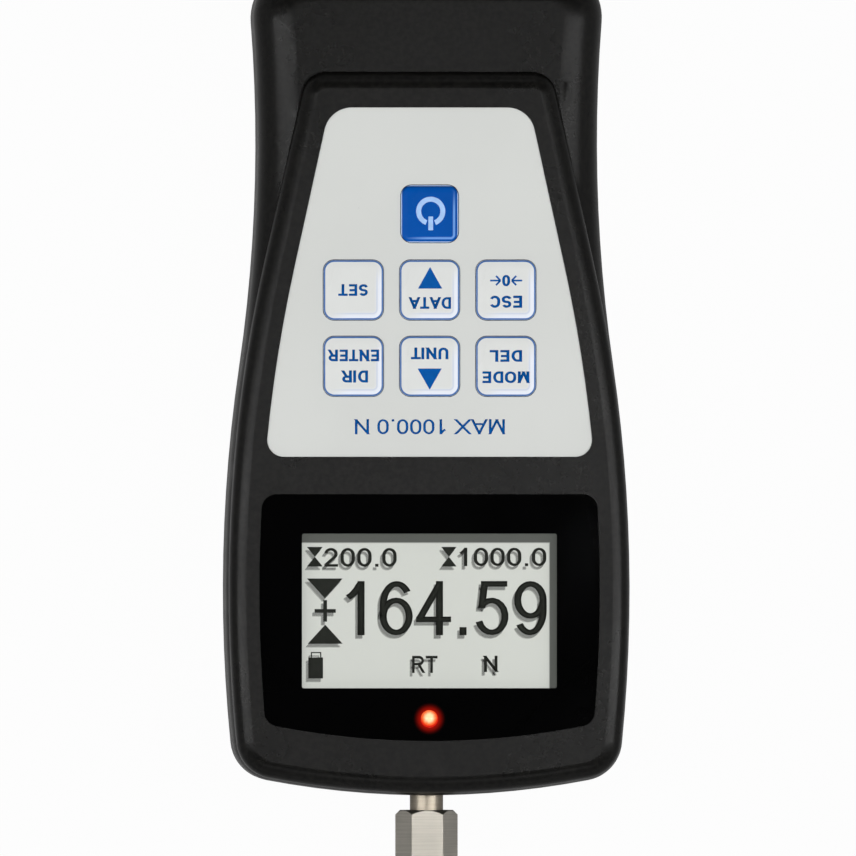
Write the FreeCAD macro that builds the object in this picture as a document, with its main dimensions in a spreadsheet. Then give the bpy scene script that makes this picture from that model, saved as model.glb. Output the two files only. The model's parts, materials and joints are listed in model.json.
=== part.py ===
import FreeCAD, Part
import math
import os
from types import SimpleNamespace

import Sketcher

# Hand-held digital force gauge, lying on its back. +Z points out of the display, +Y runs from the
# measuring axle at the nose to the sockets at the tail, and X is across. Units are millimetres.
# The origin is the centre of the four stand threads, in the plane of the back.

SIZES = {
    # case outline, seen from above
    "grip_length": 26.2,
    "head_past_view": 5.0,
    "waist_hollow": 7.85,
    "waist_from_tail": 43.0,
    "nose_crown": 5.8,
    "nose_corner": 10.0,
    "tail_corner": 13.0,
    # case heights, walls and edges
    "rear_depth": 20.0,
    "grip_rise": 17.5,
    "platform_rise": 4.5,
    "wall": 2.5,
    "seam_gap": 0.4,
    "tongue_height": 1.5,
    "tongue_inset": 1.3,
    "fit": 0.1,
    "screw_fit": 0.05,
    "overcut": 1.0,
    "back_edge": 5.0,
    "shoulder_edge": 9.5,
    # raised platform that carries the keypad and the window
    "ledge": 0.6,
    "platform_corner": 6.0,
    "platform_edge": 4.0,
    # keypad overlay and keys
    "border": 7.2,
    "bridge": 9.0,
    "keypad_foot": 14.5,
    "keypad_head": 18.6,
    "key_side_room": 20.0,
    "overlay_thick": 0.6,
    "overlay_sink": 0.3,
    "overlay_top_border": 8.6,
    "overlay_top_corner": 6.7,
    "overlay_foot_corner": 4.0,
    "key_side": 14.4,
    "power_key_side": 13.8,
    "key_corner": 2.6,
    "key_pitch": 18.3,
    "key_proud": 0.45,
    "key_edge": 0.4,
    "key_gap": 0.15,
    "key_travel": 0.4,
    "key_relief": 0.8,
    "stem_radius": 3.0,
    "stem_clearance": 0.5,
    # window and display module
    "window_head": 9.45,
    "window_foot_inset": 13.2,
    "window_corner": 3.6,
    "window_thick": 1.4,
    "window_sink": 0.2,
    "mask_thick": 0.2,
    "view_width": 61.2,
    "view_height": 37.1,
    "view_corner": 0.5,
    "view_side_room": 18.0,
    "bezel_lip": 1.4,
    "bezel_rim": 2.4,
    "bezel_sheet": 0.5,
    "glass_thick": 2.0,
    "backlight_thick": 2.5,
    "lamp_from_nose": 18.5,
    "lamp_radius": 2.0,
    "lamp_foot": 0.5,
    "lamp_gap": 1.05,
    "lamp_clearance": 0.3,
    # circuit board and what it carries
    "board_drop": 6.0,
    "board_thick": 1.6,
    "board_overhang": 0.4,
    "board_notch_gap": 0.5,
    "board_tail_half": 24.0,
    "board_nose_gap": 11.0,
    "board_tail_gap": 5.8,
    "board_step_from_tail": 28.0,
    "board_screw_radius": 1.25,
    "board_screw_bite": 4.0,
    "board_boss_radius": 3.2,
    "board_screw_side": 7.0,
    "board_screw_end": 4.5,
    "switch_side": 6.0,
    "switch_corner": 0.5,
    "switch_height": 3.5,
    "plunger_radius": 1.7,
    "plunger_show": 0.9,
    "plunger_hidden": 0.9,
    "buzzer_radius": 5.0,
    "buzzer_height": 4.0,
    # case screws
    "screw_radius": 1.5,
    "screw_head_radius": 2.7,
    "screw_head_height": 2.0,
    "screw_head_room": 0.4,
    "screw_seat": 10.0,
    "screw_bite": 9.0,
    "boss_radius": 4.2,
    "side_screw_inset": 9.6,
    "tail_screw_inset": 9.5,
    "nose_screw_from_nose": 16.0,
    "mid_screw_past_overlay": 10.6,
    "tail_screw_from_tail": 11.0,
    # steel chassis, load cell and axle
    "axle_radius": 4.0,
    "axle_show": 3.6,
    "axle_travel": 0.5,
    "nose_hole_gap": 0.6,
    "plate_width": 54.0,
    "plate_thick": 3.0,
    "plate_lift": 5.0,
    "plate_corner": 4.0,
    "plate_nose_gap": 16.0,
    "plate_tail_gap": 2.5,
    "post_margin": 5.0,
    "lug_thick": 5.0,
    "lug_width": 30.0,
    "lug_rise": 9.0,
    "lug_corner": 6.0,
    "bush_wall": 2.5,
    "bush_flange": 1.2,
    "cell_width": 44.0,
    "cell_length": 46.0,
    "cell_height": 14.0,
    "cell_nose_gap": 7.0,
    "cell_slot": 2.5,
    "cell_hinge": 8.0,
    "cell_thread_depth": 11.0,
    "cell_thread_floor": 2.0,
    "web_radius": 8.0,
    "web_thick": 6.0,
    "gauge_thick": 0.3,
    "spacer_thick": 2.0,
    "spacer_radius": 8.0,
    "anchor_head": 5.3,
    "anchor_flats": 13.0,
    "stand_pitch_x": 36.0,
    "stand_pitch_y": 60.0,
    "stand_thread_radius": 2.0,
    "post_radius": 4.0,
    "chassis_screw_x": 22.0,
    "chassis_screw_nose": 6.0,
    "chassis_screw_tail": 17.0,
    "chassis_screw_bite": 4.0,
    # hexagonal adapter on the axle
    "hex_flats": 13.0,
    "hex_length": 24.0,
    "hex_chamfer": 1.1,
    "hex_socket": 10.0,
    "hex_thread_radius": 3.35,
    "hex_thread_depth": 12.0,
    # cells and sockets
    "battery_radius": 5.25,
    "battery_length": 44.5,
    "battery_from_tail": 18.0,
    "sleeve_thick": 0.4,
    "rib_thick": 1.6,
    "rib_height": 8.0,
    "well_side_gap": 0.5,
    "power_socket_x": -10.0,
    "power_socket_width": 9.0,
    "power_socket_length": 13.0,
    "power_socket_height": 11.0,
    "power_collar_radius": 4.0,
    "power_bore_radius": 3.1,
    "power_pin_radius": 1.0,
    "data_socket_x": 9.0,
    "data_socket_width": 7.7,
    "data_socket_length": 9.2,
    "data_socket_height": 4.0,
    "data_shell": 0.3,
    "data_contact_width": 4.4,
    "data_contact_height": 0.9,
    "socket_setback": 4.2,
    "socket_recess": 1.0,
    "power_opening_gap": 0.3,
    "data_opening_gap": 0.5,
}
BATTERY_COUNT = 6
HEX_SIDES = 6

DOC = FreeCAD.newDocument("ForceGauge")
SHEET = DOC.addObject("Spreadsheet::Sheet", "Sizes")
for row, (alias, value) in enumerate(SIZES.items(), start=1):
    SHEET.set(f"A{row}", alias)
    SHEET.set(f"B{row}", str(value))
    SHEET.setAlias(f"B{row}", alias)

# Lengths that follow from the sizes are properties of one object, bound to the sheet.
LAYOUT = DOC.addObject("App::VarSet", "Layout")
DOC.recompute()

PIECES = []


class Length:
    """A length together with the expression that gives it, so that what is drawn is also bound."""

    def __init__(self, value, text):
        self.value = float(value)
        self.text = text

    def __add__(self, other):
        other = as_length(other)
        return Length(self.value + other.value, f"({self.text} + {other.text})")

    def __sub__(self, other):
        other = as_length(other)
        return Length(self.value - other.value, f"({self.text} - {other.text})")

    def __mul__(self, other):
        other = as_length(other)
        return Length(self.value * other.value, f"({self.text} * {other.text})")

    def __truediv__(self, other):
        other = as_length(other)
        return Length(self.value / other.value, f"({self.text} / {other.text})")

    def __pow__(self, power):
        return Length(self.value**power, f"({self.text} ^ {power})")

    def __neg__(self):
        return Length(-self.value, f"(-{self.text})")

    def __rsub__(self, other):
        return as_length(other) - self

    def __rtruediv__(self, other):
        return as_length(other) / self

    __radd__ = __add__
    __rmul__ = __mul__


def as_length(value):
    return value if isinstance(value, Length) else Length(value, f"({value})")


def root(length):
    return Length(math.sqrt(length.value), f"sqrt({length.text})")


def largest(*lengths):
    """The greatest of the lengths, in Python and in the sheet alike."""
    return Length(max(each.value for each in lengths), f"max({'; '.join(each.text for each in lengths)})")


def named(name, length):
    """Keeps a derived length as a bound property of the layout and returns it by that name."""
    LAYOUT.addProperty("App::PropertyFloat", name)
    LAYOUT.setExpression(name, length.text)
    return Length(length.value, f"Layout.{name}")


size = SimpleNamespace(**{name: Length(value, f"Sizes.{name}") for name, value in SIZES.items()})

# Widths that several pieces share.

opening_width = named("opening_width", size.view_width + 2 * size.bezel_lip)
opening_height = named("opening_height", size.view_height + 2 * size.bezel_lip)
bezel_width = named("bezel_width", opening_width + 2 * size.bezel_rim)
bezel_height = named("bezel_height", opening_height + 2 * size.bezel_rim)
board_half = named("board_half", bezel_width / 2 + size.board_overhang)
hex_corner = named("hex_corner", size.hex_flats / math.sqrt(3))
battery_pitch = named("battery_pitch", 2 * (size.battery_radius + size.fit / 2))
pack_half = named("pack_half", BATTERY_COUNT * battery_pitch / 2 + size.fit / 2 + size.sleeve_thick)
well_half = named("well_half", pack_half + size.fit + size.rib_thick)

# The case is as long as what lies along its front, from the lamp at the nose to the bare grip.

bezel_foot = named("bezel_foot", size.lamp_from_nose + size.lamp_radius + size.lamp_foot + size.lamp_gap)
view_from_nose = named("view_from_nose", bezel_foot + bezel_height / 2)
window_end = named("window_end", view_from_nose + size.view_height / 2 + size.window_head)
overlay_start = named("overlay_start", window_end + size.bridge)
low_row = named("low_row", overlay_start + size.keypad_foot + size.key_side / 2)
bend_from_nose = named("bend_from_nose", low_row + size.key_pitch + size.key_side / 2)
overlay_end = named("overlay_end", low_row + 2 * size.key_pitch + size.power_key_side / 2 + size.keypad_head)
platform_length = named("platform_length", overlay_end + size.overlay_top_border)
body_length = named("body_length", platform_length + size.grip_length)

# The cells lie between the stand's plate and the tail, and the origin is the middle of its threads.

tail_to_plate = named("tail_to_plate", size.battery_from_tail + size.battery_length + size.plate_tail_gap)
tail = named("tail", tail_to_plate + size.post_margin + size.stand_pitch_y / 2)
nose = named("nose", tail - body_length)

# The case is as wide as its display, its keys or its cells need, whichever needs most. Its
# outline is four tangent side arcs, a crowned nose and a straight tail. The head's arc swells out
# to head_half and the waist's arc hollows in to waist_half, both of side_radius.

display_need = named("display_need", size.view_width / 2 + size.view_side_room)
keys_need = named("keys_need", size.key_pitch + size.key_side / 2 + size.key_side_room)
cells_need = named("cells_need", well_half + size.well_side_gap + size.wall + size.waist_hollow)
head_half = named("head_half", largest(display_need, keys_need, cells_need))
waist_half = named("waist_half", head_half - size.waist_hollow)
head_y = named("head_y", nose + view_from_nose + size.head_past_view)
waist_y = named("waist_y", tail - size.waist_from_tail)
swing = named("swing", size.waist_hollow)
run = named("run", waist_y - head_y)
side_radius = named("side_radius", (run**2 + swing**2) / (4 * swing))
nose_radius = named("nose_radius", (head_half**2 + size.nose_crown**2) / (2 * size.nose_crown))
side_centre_x = named("side_centre_x", head_half - side_radius)
nose_centre_y = named("nose_centre_y", nose + nose_radius)
centres_y = named("centres_y", head_y - nose_centre_y)
centres_gap = named("centres_gap", root(side_centre_x**2 + centres_y**2))
bend_sine = named("bend_sine", (nose + bend_from_nose - head_y) / side_radius)
bend_cosine = named("bend_cosine", root(1 - bend_sine**2))

# Levels, from the back up.

parting = named("parting", size.rear_depth)
grip_top = named("grip_top", parting + size.grip_rise)
front_top = named("front_top", grip_top + size.platform_rise)
grip_ceiling = named("grip_ceiling", grip_top - size.wall)
platform_ceiling = named("platform_ceiling", front_top - size.wall)
overlay_floor = named("overlay_floor", front_top - size.overlay_sink - size.overlay_thick)
key_top = named("key_top", front_top - size.overlay_sink + size.key_proud)
mask_floor = named("mask_floor", front_top - size.window_sink - size.window_thick - size.mask_thick)
board_top = named("board_top", platform_ceiling - size.board_drop)
board_under = named("board_under", board_top - size.board_thick)
glass_under = named("glass_under", board_top + size.backlight_thick)
glass_top = named("glass_top", glass_under + size.glass_thick)
bezel_top = named("bezel_top", glass_top + size.fit + size.bezel_sheet)
plunger_top = named("plunger_top", board_top + size.switch_height + size.plunger_show)
axle_z = named("axle_z", parting)
plate_top = named("plate_top", size.plate_lift + size.plate_thick)

# Places along the gauge.

platform_foot = named("platform_foot", nose + platform_length)
overlay_top_y = named("overlay_top_y", nose + overlay_end)
overlay_foot_y = named("overlay_foot_y", nose + overlay_start)
window_top_y = named("window_top_y", nose + window_end)
low_row_y = named("low_row_y", nose + low_row)
view_y = named("view_y", nose + view_from_nose)
lamp_y = named("lamp_y", nose + size.lamp_from_nose)
board_nose_y = named("board_nose_y", nose + size.board_nose_gap)
board_step_y = named("board_step_y", tail - size.board_step_from_tail)
plate_nose_y = named("plate_nose_y", nose + size.plate_nose_gap)
plate_tail_y = named("plate_tail_y", tail - tail_to_plate)
plate_length = named("plate_length", plate_tail_y - plate_nose_y)
cell_nose_y = named("cell_nose_y", plate_nose_y + size.lug_thick + size.cell_nose_gap)
cell_tail_y = named("cell_tail_y", cell_nose_y + size.cell_length)
cell_y = named("cell_y", (cell_nose_y + cell_tail_y) / 2)
tail_lug_y = named("tail_lug_y", cell_tail_y + size.spacer_thick)
hex_y = named("hex_y", nose - size.axle_show)
battery_top_y = named("battery_top_y", tail - size.battery_from_tail)
battery_y = named("battery_y", battery_top_y - size.battery_length)

# The height of the cells' line.

battery_z = named("battery_z", size.wall + size.fit + size.sleeve_thick + size.fit + size.battery_radius)
DOC.recompute()


# A point is a pair of lengths, and an outline is a list of edges.


def line(start, end):
    return {"start": start, "end": end, "radius": None}


def arc(start, end, radius, side):
    """A short arc that swells to the left of its direction where side is 1, and right where -1."""
    return {"start": start, "end": end, "radius": radius, "side": side}


def circle(x, y, radius):
    return {"centre": (as_length(x), as_length(y)), "radius": radius}


def polygon(points):
    return [line(a, b) for a, b in zip(points, points[1:] + points[:1])]


def rounded(x, y, width, height, radius):
    """A rectangle about (x, y) with its four corners rounded."""
    left, right = x - width / 2, x + width / 2
    foot, top = y - height / 2, y + height / 2
    r = radius
    return [
        line((left + r, foot), (right - r, foot)),
        arc((right - r, foot), (right, foot + r), r, -1),
        line((right, foot + r), (right, top - r)),
        arc((right, top - r), (right - r, top), r, -1),
        line((right - r, top), (left + r, top)),
        arc((left + r, top), (left, top - r), r, -1),
        line((left, top - r), (left, foot + r)),
        arc((left, foot + r), (left + r, foot), r, -1),
    ]


def mirrored(point):
    return (-point[0], point[1])


def head_x(y, inset):
    """Half width of the head's side arc at y, taken in by inset."""
    return side_centre_x + root((side_radius - inset) ** 2 - (y - head_y) ** 2)


def waist_x(y, inset):
    """Half width of the waist's hollow arc at y, taken in by inset."""
    return waist_half + side_radius - root((side_radius + inset) ** 2 - (y - waist_y) ** 2)


def nose_point(side_inset, nose_inset):
    """Where the head's side arc meets the nose arc, each taken in by its own inset."""
    side, front = side_radius - side_inset, nose_radius - nose_inset
    along = (front**2 - side**2 + centres_gap**2) / (2 * centres_gap)
    across = root(front**2 - along**2)
    x = (along * side_centre_x - across * centres_y) / centres_gap
    y = nose_centre_y + (along * centres_y + across * side_centre_x) / centres_gap
    return (x, y)


def case_outline(inset):
    """The whole case: straight tail, hollow waist, swelling head and crowned nose."""
    tail_y = tail - inset
    end = (waist_x(tail_y, inset), tail_y)
    share = (side_radius - inset) / (2 * side_radius)
    turn = (side_centre_x + (2 * side_radius - swing) * share, head_y + run * share)
    corner = nose_point(inset, inset)
    hollow, swell = side_radius + inset, side_radius - inset
    return [
        line(end, mirrored(end)),
        arc(mirrored(end), mirrored(turn), hollow, 1),
        arc(mirrored(turn), mirrored(corner), swell, -1),
        arc(mirrored(corner), corner, nose_radius - inset, -1),
        arc(corner, turn, swell, -1),
        arc(turn, end, hollow, 1),
    ]


def platform_outline(inset, top, nose_inset):
    """The raised part of the head, open to the nose. Its sides follow the head up to the bend
    and run straight and inwards from there to top."""
    swell = side_radius - inset
    bend = (side_centre_x + swell * bend_cosine, head_y + swell * bend_sine)
    upper = (bend[0] - (top - bend[1]) * bend_sine / bend_cosine, top)
    corner = nose_point(inset, nose_inset)
    return [
        line(upper, mirrored(upper)),
        line(mirrored(upper), mirrored(bend)),
        arc(mirrored(bend), mirrored(corner), swell, -1),
        arc(mirrored(corner), corner, nose_radius - nose_inset, -1),
        arc(corner, bend, swell, -1),
        line(bend, upper),
    ]


def keypad_outline(inset, top, foot):
    """The keypad's panel, which lies inside the platform and ends in a straight foot."""
    edges = platform_outline(inset, top, inset)
    lower = (head_x(foot, inset), foot)
    bend = edges[4]["end"]
    return edges[:2] + [
        arc(mirrored(bend), mirrored(lower), side_radius - inset, -1),
        line(mirrored(lower), lower),
        arc(lower, bend, side_radius - inset, -1),
        edges[5],
    ]


def window_outline(inset, top, nose_inset):
    """The display window: a straight top, sides that follow the head and a crowned foot."""
    upper = (head_x(top, inset), top)
    corner = nose_point(inset, nose_inset)
    return [
        line(upper, mirrored(upper)),
        arc(mirrored(upper), mirrored(corner), side_radius - inset, -1),
        arc(mirrored(corner), corner, nose_radius - nose_inset, -1),
        arc(corner, upper, side_radius - inset, -1),
    ]


# Sketches and features. Every number drawn is tied to the sheet as it is drawn.


def bind(item, prop, length):
    item.setExpression(prop, as_length(length).text)


def vector(point):
    return FreeCAD.Vector(point[0].value, point[1].value, 0)


def curve(edge):
    """The edge as geometry, drawn where the sizes put it."""
    if "centre" in edge:
        up = FreeCAD.Vector(0, 0, 1)
        return Part.Circle(vector(edge["centre"]), up, edge["radius"].value)
    start, end = vector(edge["start"]), vector(edge["end"])
    if edge["radius"] is None:
        return Part.LineSegment(start, end)
    chord = end - start
    radius = edge["radius"].value
    depth = math.sqrt(radius**2 - (chord.Length / 2) ** 2)
    left = FreeCAD.Vector(-chord.y, chord.x, 0).normalize()
    centre = (start + end) / 2 - left * depth * edge["side"]
    if edge["side"] > 0:
        start, end = end, start
    first, last = [math.atan2(end.y - centre.y, end.x - centre.x) for end in (start, end)]
    whole = Part.Circle(centre, FreeCAD.Vector(0, 0, 1), radius)
    return Part.ArcOfCircle(whole, first, last)


def tie_point(sketch, geometry, place, point):
    for kind, length in zip(("DistanceX", "DistanceY"), point):
        constraint = Sketcher.Constraint(kind, -1, 1, geometry, place, length.value)
        bind(sketch, f"Constraints[{sketch.addConstraint(constraint)}]", length)


def tie_radius(sketch, geometry, radius):
    constraint = Sketcher.Constraint("Radius", geometry, radius.value)
    bind(sketch, f"Constraints[{sketch.addConstraint(constraint)}]", radius)


def draw_outline(sketch, edges):
    """Draws a closed outline, joins its corners, and ties each corner and radius."""
    drawn = []
    for edge in edges:
        geometry = sketch.addGeometry(curve(edge), False)
        start = vector(edge["start"])
        ends = sketch.Geometry[geometry]
        forward = ends.StartPoint.distanceToPoint(start) < ends.EndPoint.distanceToPoint(start)
        first, last = (1, 2) if forward else (2, 1)
        drawn.append((geometry, first, last))
    before = drawn[-1]
    for (geometry, first, last), edge in zip(drawn, edges):
        sketch.addConstraint(Sketcher.Constraint("Coincident", before[0], before[2], geometry, first))
        tie_point(sketch, geometry, first, edge["start"])
        if edge["radius"] is not None:
            tie_radius(sketch, geometry, edge["radius"])
        before = (geometry, first, last)


def draw_circle(sketch, edge):
    geometry = sketch.addGeometry(curve(edge), False)
    tie_point(sketch, geometry, 3, edge["centre"])
    tie_radius(sketch, geometry, edge["radius"])


def new_sketch(body, name, plane, offset, loops):
    """A sketch on one of the body's origin planes, moved along that plane's normal by offset.
    An XY sketch holds (x, y). An XZ sketch holds (x, z), and its normal is -Y."""
    sketch = body.newObject("Sketcher::SketchObject", name)
    planes = {item.Role: item for item in body.Origin.OriginFeatures}
    sketch.AttachmentSupport = (planes[f"{plane}_Plane"], [""])
    sketch.MapMode = "FlatFace"
    bind(sketch, "AttachmentOffset.Base.z", offset)
    for loop in loops:
        draw = draw_circle if isinstance(loop, dict) else draw_outline
        draw(sketch, loop)
    return sketch


def new_body(name):
    return DOC.addObject("PartDesign::Body", name)


def pad(body, name, plane, offset, loops, length):
    """Adds material from the sketch's plane along its normal."""
    feature = body.newObject("PartDesign::Pad", name)
    feature.Profile = new_sketch(body, f"{name}_sketch", plane, offset, loops)
    bind(feature, "Length", length)
    body.Tip = feature
    return feature


def pocket(body, name, plane, offset, loops, length):
    """Cuts from the sketch's plane against its normal, and makes sure that it does cut."""
    DOC.recompute()
    whole = body.Shape.Volume
    feature = body.newObject("PartDesign::Pocket", name)
    feature.Profile = new_sketch(body, f"{name}_sketch", plane, offset, loops)
    bind(feature, "Length", length)
    body.Tip = feature
    DOC.recompute()
    if body.Shape.Volume >= whole:
        raise ValueError(f"{name} cuts nothing")
    return feature


def revolve(body, name, plane, points):
    """Turns a profile about the sketch's upright axis. Its points are (radius, height)."""
    feature = body.newObject("PartDesign::Revolution", name)
    sketch = new_sketch(body, f"{name}_sketch", plane, Length(0, "0"), [polygon(points)])
    feature.Profile = sketch
    feature.ReferenceAxis = (sketch, ["V_Axis"])
    feature.Angle = 360
    body.Tip = feature
    return feature


def is_upright(edge):
    ends = [vertex.Point for vertex in edge.Vertexes]
    return len(ends) == 2 and math.hypot(ends[0].x - ends[1].x, ends[0].y - ends[1].y) < 1e-6


def lies_at(level):
    """A test for edges that lie flat at z = level."""

    def test(edge):
        heights = [vertex.Point.z for vertex in edge.Vertexes] + [edge.CenterOfMass.z]
        return all(abs(height - level.value) < 1e-6 for height in heights)

    return test


def round_edges(body, name, radius, test):
    """A fillet on those edges of the body that pass the test."""
    DOC.recompute()
    base = body.Tip
    found = [f"Edge{i}" for i, edge in enumerate(base.Shape.Edges, start=1) if test(edge)]
    feature = body.newObject("PartDesign::Fillet", name)
    feature.Base = (base, found)
    bind(feature, "Radius", radius)
    body.Tip = feature
    return feature


def slab(name, outline, low, high, corners, rim=None, rim_level=None):
    """A plate of that outline from z = low to z = high. Each of corners is (radius, y from, y to)
    for upright edges, and rim rounds the loop of edges at rim_level."""
    body = new_body(name)
    pad(body, f"{name}_pad", "XY", low, [outline], high - low)
    for i, (radius, y_from, y_to) in enumerate(corners):

        def is_corner(edge, y_from=y_from.value, y_to=y_to.value):
            return is_upright(edge) and y_from < edge.Vertexes[0].Point.y < y_to

        round_edges(body, f"{name}_corner{i}", radius, is_corner)
    if rim is not None:
        round_edges(body, f"{name}_rim", rim, lies_at(rim_level))
    return body


def nose_corners(inset):
    return (size.nose_corner - inset, nose - size.overcut, nose + size.nose_crown + size.nose_corner)


def case_slab(name, inset, low, high, rim=None, rim_level=None):
    tail_corners = (size.tail_corner - inset, waist_y, tail + size.overcut)
    corners = [tail_corners, nose_corners(inset)]
    return slab(name, case_outline(inset), low, high, corners, rim, rim_level)


def platform_slab(name, inset, low, high, rim):
    foot = platform_foot - inset
    outline = platform_outline(size.ledge + inset, foot, size.ledge + inset)
    foot_corners = (size.platform_corner - inset, foot - size.overcut, foot + size.overcut)
    corners = [foot_corners, nose_corners(size.ledge + inset)]
    return slab(name, outline, low, high, corners, rim, high)


def keypad_slab(name, gap, low, high):
    """The overlay's plate, or with a negative gap the recess that it lies in."""
    inset = size.ledge + size.border + gap
    outline = keypad_outline(inset, overlay_top_y - gap, overlay_foot_y + gap)
    top_corners = (size.overlay_top_corner - gap, low_row_y, overlay_top_y + size.overcut)
    foot_corners = (size.overlay_foot_corner - gap, overlay_foot_y - size.overcut, low_row_y)
    return slab(name, outline, low, high, [top_corners, foot_corners])


def window_slab(name, gap, low, high):
    """The window's plate, or with a negative gap the recess that it lies in."""
    inset = size.ledge + size.border + gap
    outline = window_outline(inset, window_top_y - gap, size.window_foot_inset + gap)
    corners = (size.window_corner - gap, nose, window_top_y + size.overcut)
    return slab(name, outline, low, high, [corners])


# Plain solids and booleans.


def place(item, x, y, z):
    for axis, length in zip("xyz", (x, y, z)):
        bind(item, f"Placement.Base.{axis}", length)
    return item


def box(name, x, y, low, width, depth, height):
    """A block centred on x and y, standing on z = low."""
    item = DOC.addObject("Part::Box", name)
    for prop, length in zip(("Length", "Width", "Height"), (width, depth, height)):
        bind(item, prop, length)
    return place(item, x - width / 2, y - depth / 2, low)


def rod(name, x, y, low, radius, height):
    """A cylinder that stands on z = low."""
    item = DOC.addObject("Part::Cylinder", name)
    bind(item, "Radius", radius)
    bind(item, "Height", height)
    return place(item, x, y, low)


def bar(name, x, y, z, radius, length):
    """A cylinder that lies along +Y, starting at y."""
    item = DOC.addObject("Part::Cylinder", name)
    item.Placement.Rotation = FreeCAD.Rotation(FreeCAD.Vector(1, 0, 0), -90)
    bind(item, "Radius", radius)
    bind(item, "Height", length)
    return place(item, x, y, z)


def fuse(name, items):
    item = DOC.addObject("Part::MultiFuse", name)
    item.Shapes = items
    item.Refine = True
    return item


def common(name, first, second):
    item = DOC.addObject("Part::Common", name)
    item.Base = first
    item.Tool = second
    return item


def cut(name, base, tools):
    item = DOC.addObject("Part::Cut", name)
    item.Base = base
    item.Tool = tools[0] if len(tools) == 1 else fuse(f"{name}_tools", tools)
    item.Refine = True
    return item


def group(name, items):
    """Separate solids that share one node."""
    item = DOC.addObject("Part::Compound", name)
    item.Links = items
    return item


def copies(name, master, places):
    """The master, drawn about its own origin, set down at each (x, y, z) as a separate solid."""
    links = []
    for i, (x, y, z) in enumerate(places):
        link = DOC.addObject("App::Link", f"{name}_{i}")
        link.LinkedObject = master
        links.append(place(link, as_length(x), as_length(y), as_length(z)))
    return group(name, links)


def piece(item, label):
    """Names a finished sub-part, which also names its file."""
    item.Label = label
    PIECES.append(item)
    return item


def both_sides(x, y):
    return [(-x, y), (x, y)]


ZERO = Length(0, "0")

# Where fasteners and keys go. Rows run across the gauge, from the nose to the tail.

NOSE_SCREW_Y = nose + size.nose_screw_from_nose
MID_SCREW_Y = overlay_foot_y + size.mid_screw_past_overlay
TAIL_SCREW_Y = tail - size.tail_screw_from_tail
CASE_SCREWS = (
    both_sides(head_x(NOSE_SCREW_Y, size.side_screw_inset), NOSE_SCREW_Y)
    + both_sides(head_x(MID_SCREW_Y, size.side_screw_inset), MID_SCREW_Y)
    + both_sides(waist_x(TAIL_SCREW_Y, size.tail_screw_inset), TAIL_SCREW_Y)
)

BOARD_SCREW_X = board_half - size.board_screw_side
BOARD_SCREWS = (
    both_sides(BOARD_SCREW_X, board_nose_y + size.board_screw_end)
    + both_sides(BOARD_SCREW_X, view_y + bezel_height / 2 + size.board_boss_radius + size.wall)
    + both_sides(BOARD_SCREW_X, board_step_y - size.board_screw_end)
)

CHASSIS_SCREWS = both_sides(size.chassis_screw_x, plate_nose_y + size.chassis_screw_nose) + both_sides(
    size.chassis_screw_x, plate_tail_y - size.chassis_screw_tail
)

STAND_HOLES = both_sides(size.stand_pitch_x / 2, -size.stand_pitch_y / 2) + both_sides(
    size.stand_pitch_x / 2, size.stand_pitch_y / 2
)

# name: column, row
KEYS = {
    "power": (0, 2),
    "set": (-1, 1),
    "up": (0, 1),
    "escape": (1, 1),
    "enter": (-1, 0),
    "down": (0, 0),
    "mode": (1, 0),
}


def key_place(name):
    column, row = KEYS[name]
    return (column * size.key_pitch, low_row_y + row * size.key_pitch)


def key_side(name):
    return size.power_key_side if name == "power" else size.key_side


def rear_housing():
    """The back half of the case: a tray with a tongue, screw columns and a battery well."""
    outer = case_slab("rear_outer", ZERO, ZERO, parting, size.back_edge, ZERO)
    tongue = case_slab("rear_tongue", size.tongue_inset, parting - size.wall, parting + size.tongue_height)
    hollow = case_slab(
        "rear_hollow",
        size.wall,
        size.wall,
        parting + size.tongue_height + size.overcut,
        size.back_edge - size.wall,
        size.wall,
    )
    shell = cut("rear_shell", fuse("rear_blank", [outer, tongue]), [hollow])
    columns = [
        rod(f"rear_column{i}", x, y, ZERO, size.boss_radius, parting)
        for i, (x, y) in enumerate(CASE_SCREWS)
    ]
    seats = [
        rod(f"chassis_seat{i}", x, y, ZERO, size.post_radius, size.plate_lift)
        for i, (x, y) in enumerate(CHASSIS_SCREWS)
    ]
    well_y = battery_y + size.battery_length / 2
    well_width = 2 * (pack_half + size.fit)
    well_depth = size.battery_length + 4 * size.fit
    rim = 2 * size.rib_thick
    rib_top = size.wall + size.rib_height
    well = cut(
        "battery_well",
        box("well_outer", ZERO, well_y, ZERO, well_width + rim, well_depth + rim, rib_top),
        [box("well_inner", ZERO, well_y, ZERO, well_width, well_depth, rib_top)],
    )
    inside = common("rear_inside", outer, fuse("rear_fittings", columns + seats + [well]))
    holes = [
        rod(
            f"screw_sink{i}",
            x,
            y,
            -size.wall,
            size.screw_head_radius + size.screw_head_room,
            size.screw_seat + size.wall,
        )
        for i, (x, y) in enumerate(CASE_SCREWS)
    ]
    holes += [
        rod(f"screw_way{i}", x, y, ZERO, size.screw_radius + size.fit, parting + size.overcut)
        for i, (x, y) in enumerate(CASE_SCREWS)
    ]
    holes += [
        rod(
            f"chassis_pilot{i}",
            x,
            y,
            size.plate_lift - size.chassis_screw_bite - size.fit,
            size.screw_radius + size.screw_fit,
            size.chassis_screw_bite + size.overcut,
        )
        for i, (x, y) in enumerate(CHASSIS_SCREWS)
    ]
    holes += [
        rod(f"post_hole{i}", x, y, -size.wall, size.post_radius + size.fit, 3 * size.wall)
        for i, (x, y) in enumerate(STAND_HOLES)
    ]
    holes.append(nose_hole("rear_nose_hole"))
    return piece(cut("rear_cut", fuse("rear_whole", [shell, inside]), holes), "rear_housing")


def nose_hole(name):
    """The round way through the nose, half in each shell, that the axle moves in."""
    length = size.nose_crown + 2 * size.wall
    return bar(name, ZERO, nose - size.wall, axle_z, size.axle_radius + size.nose_hole_gap, length)


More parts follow.
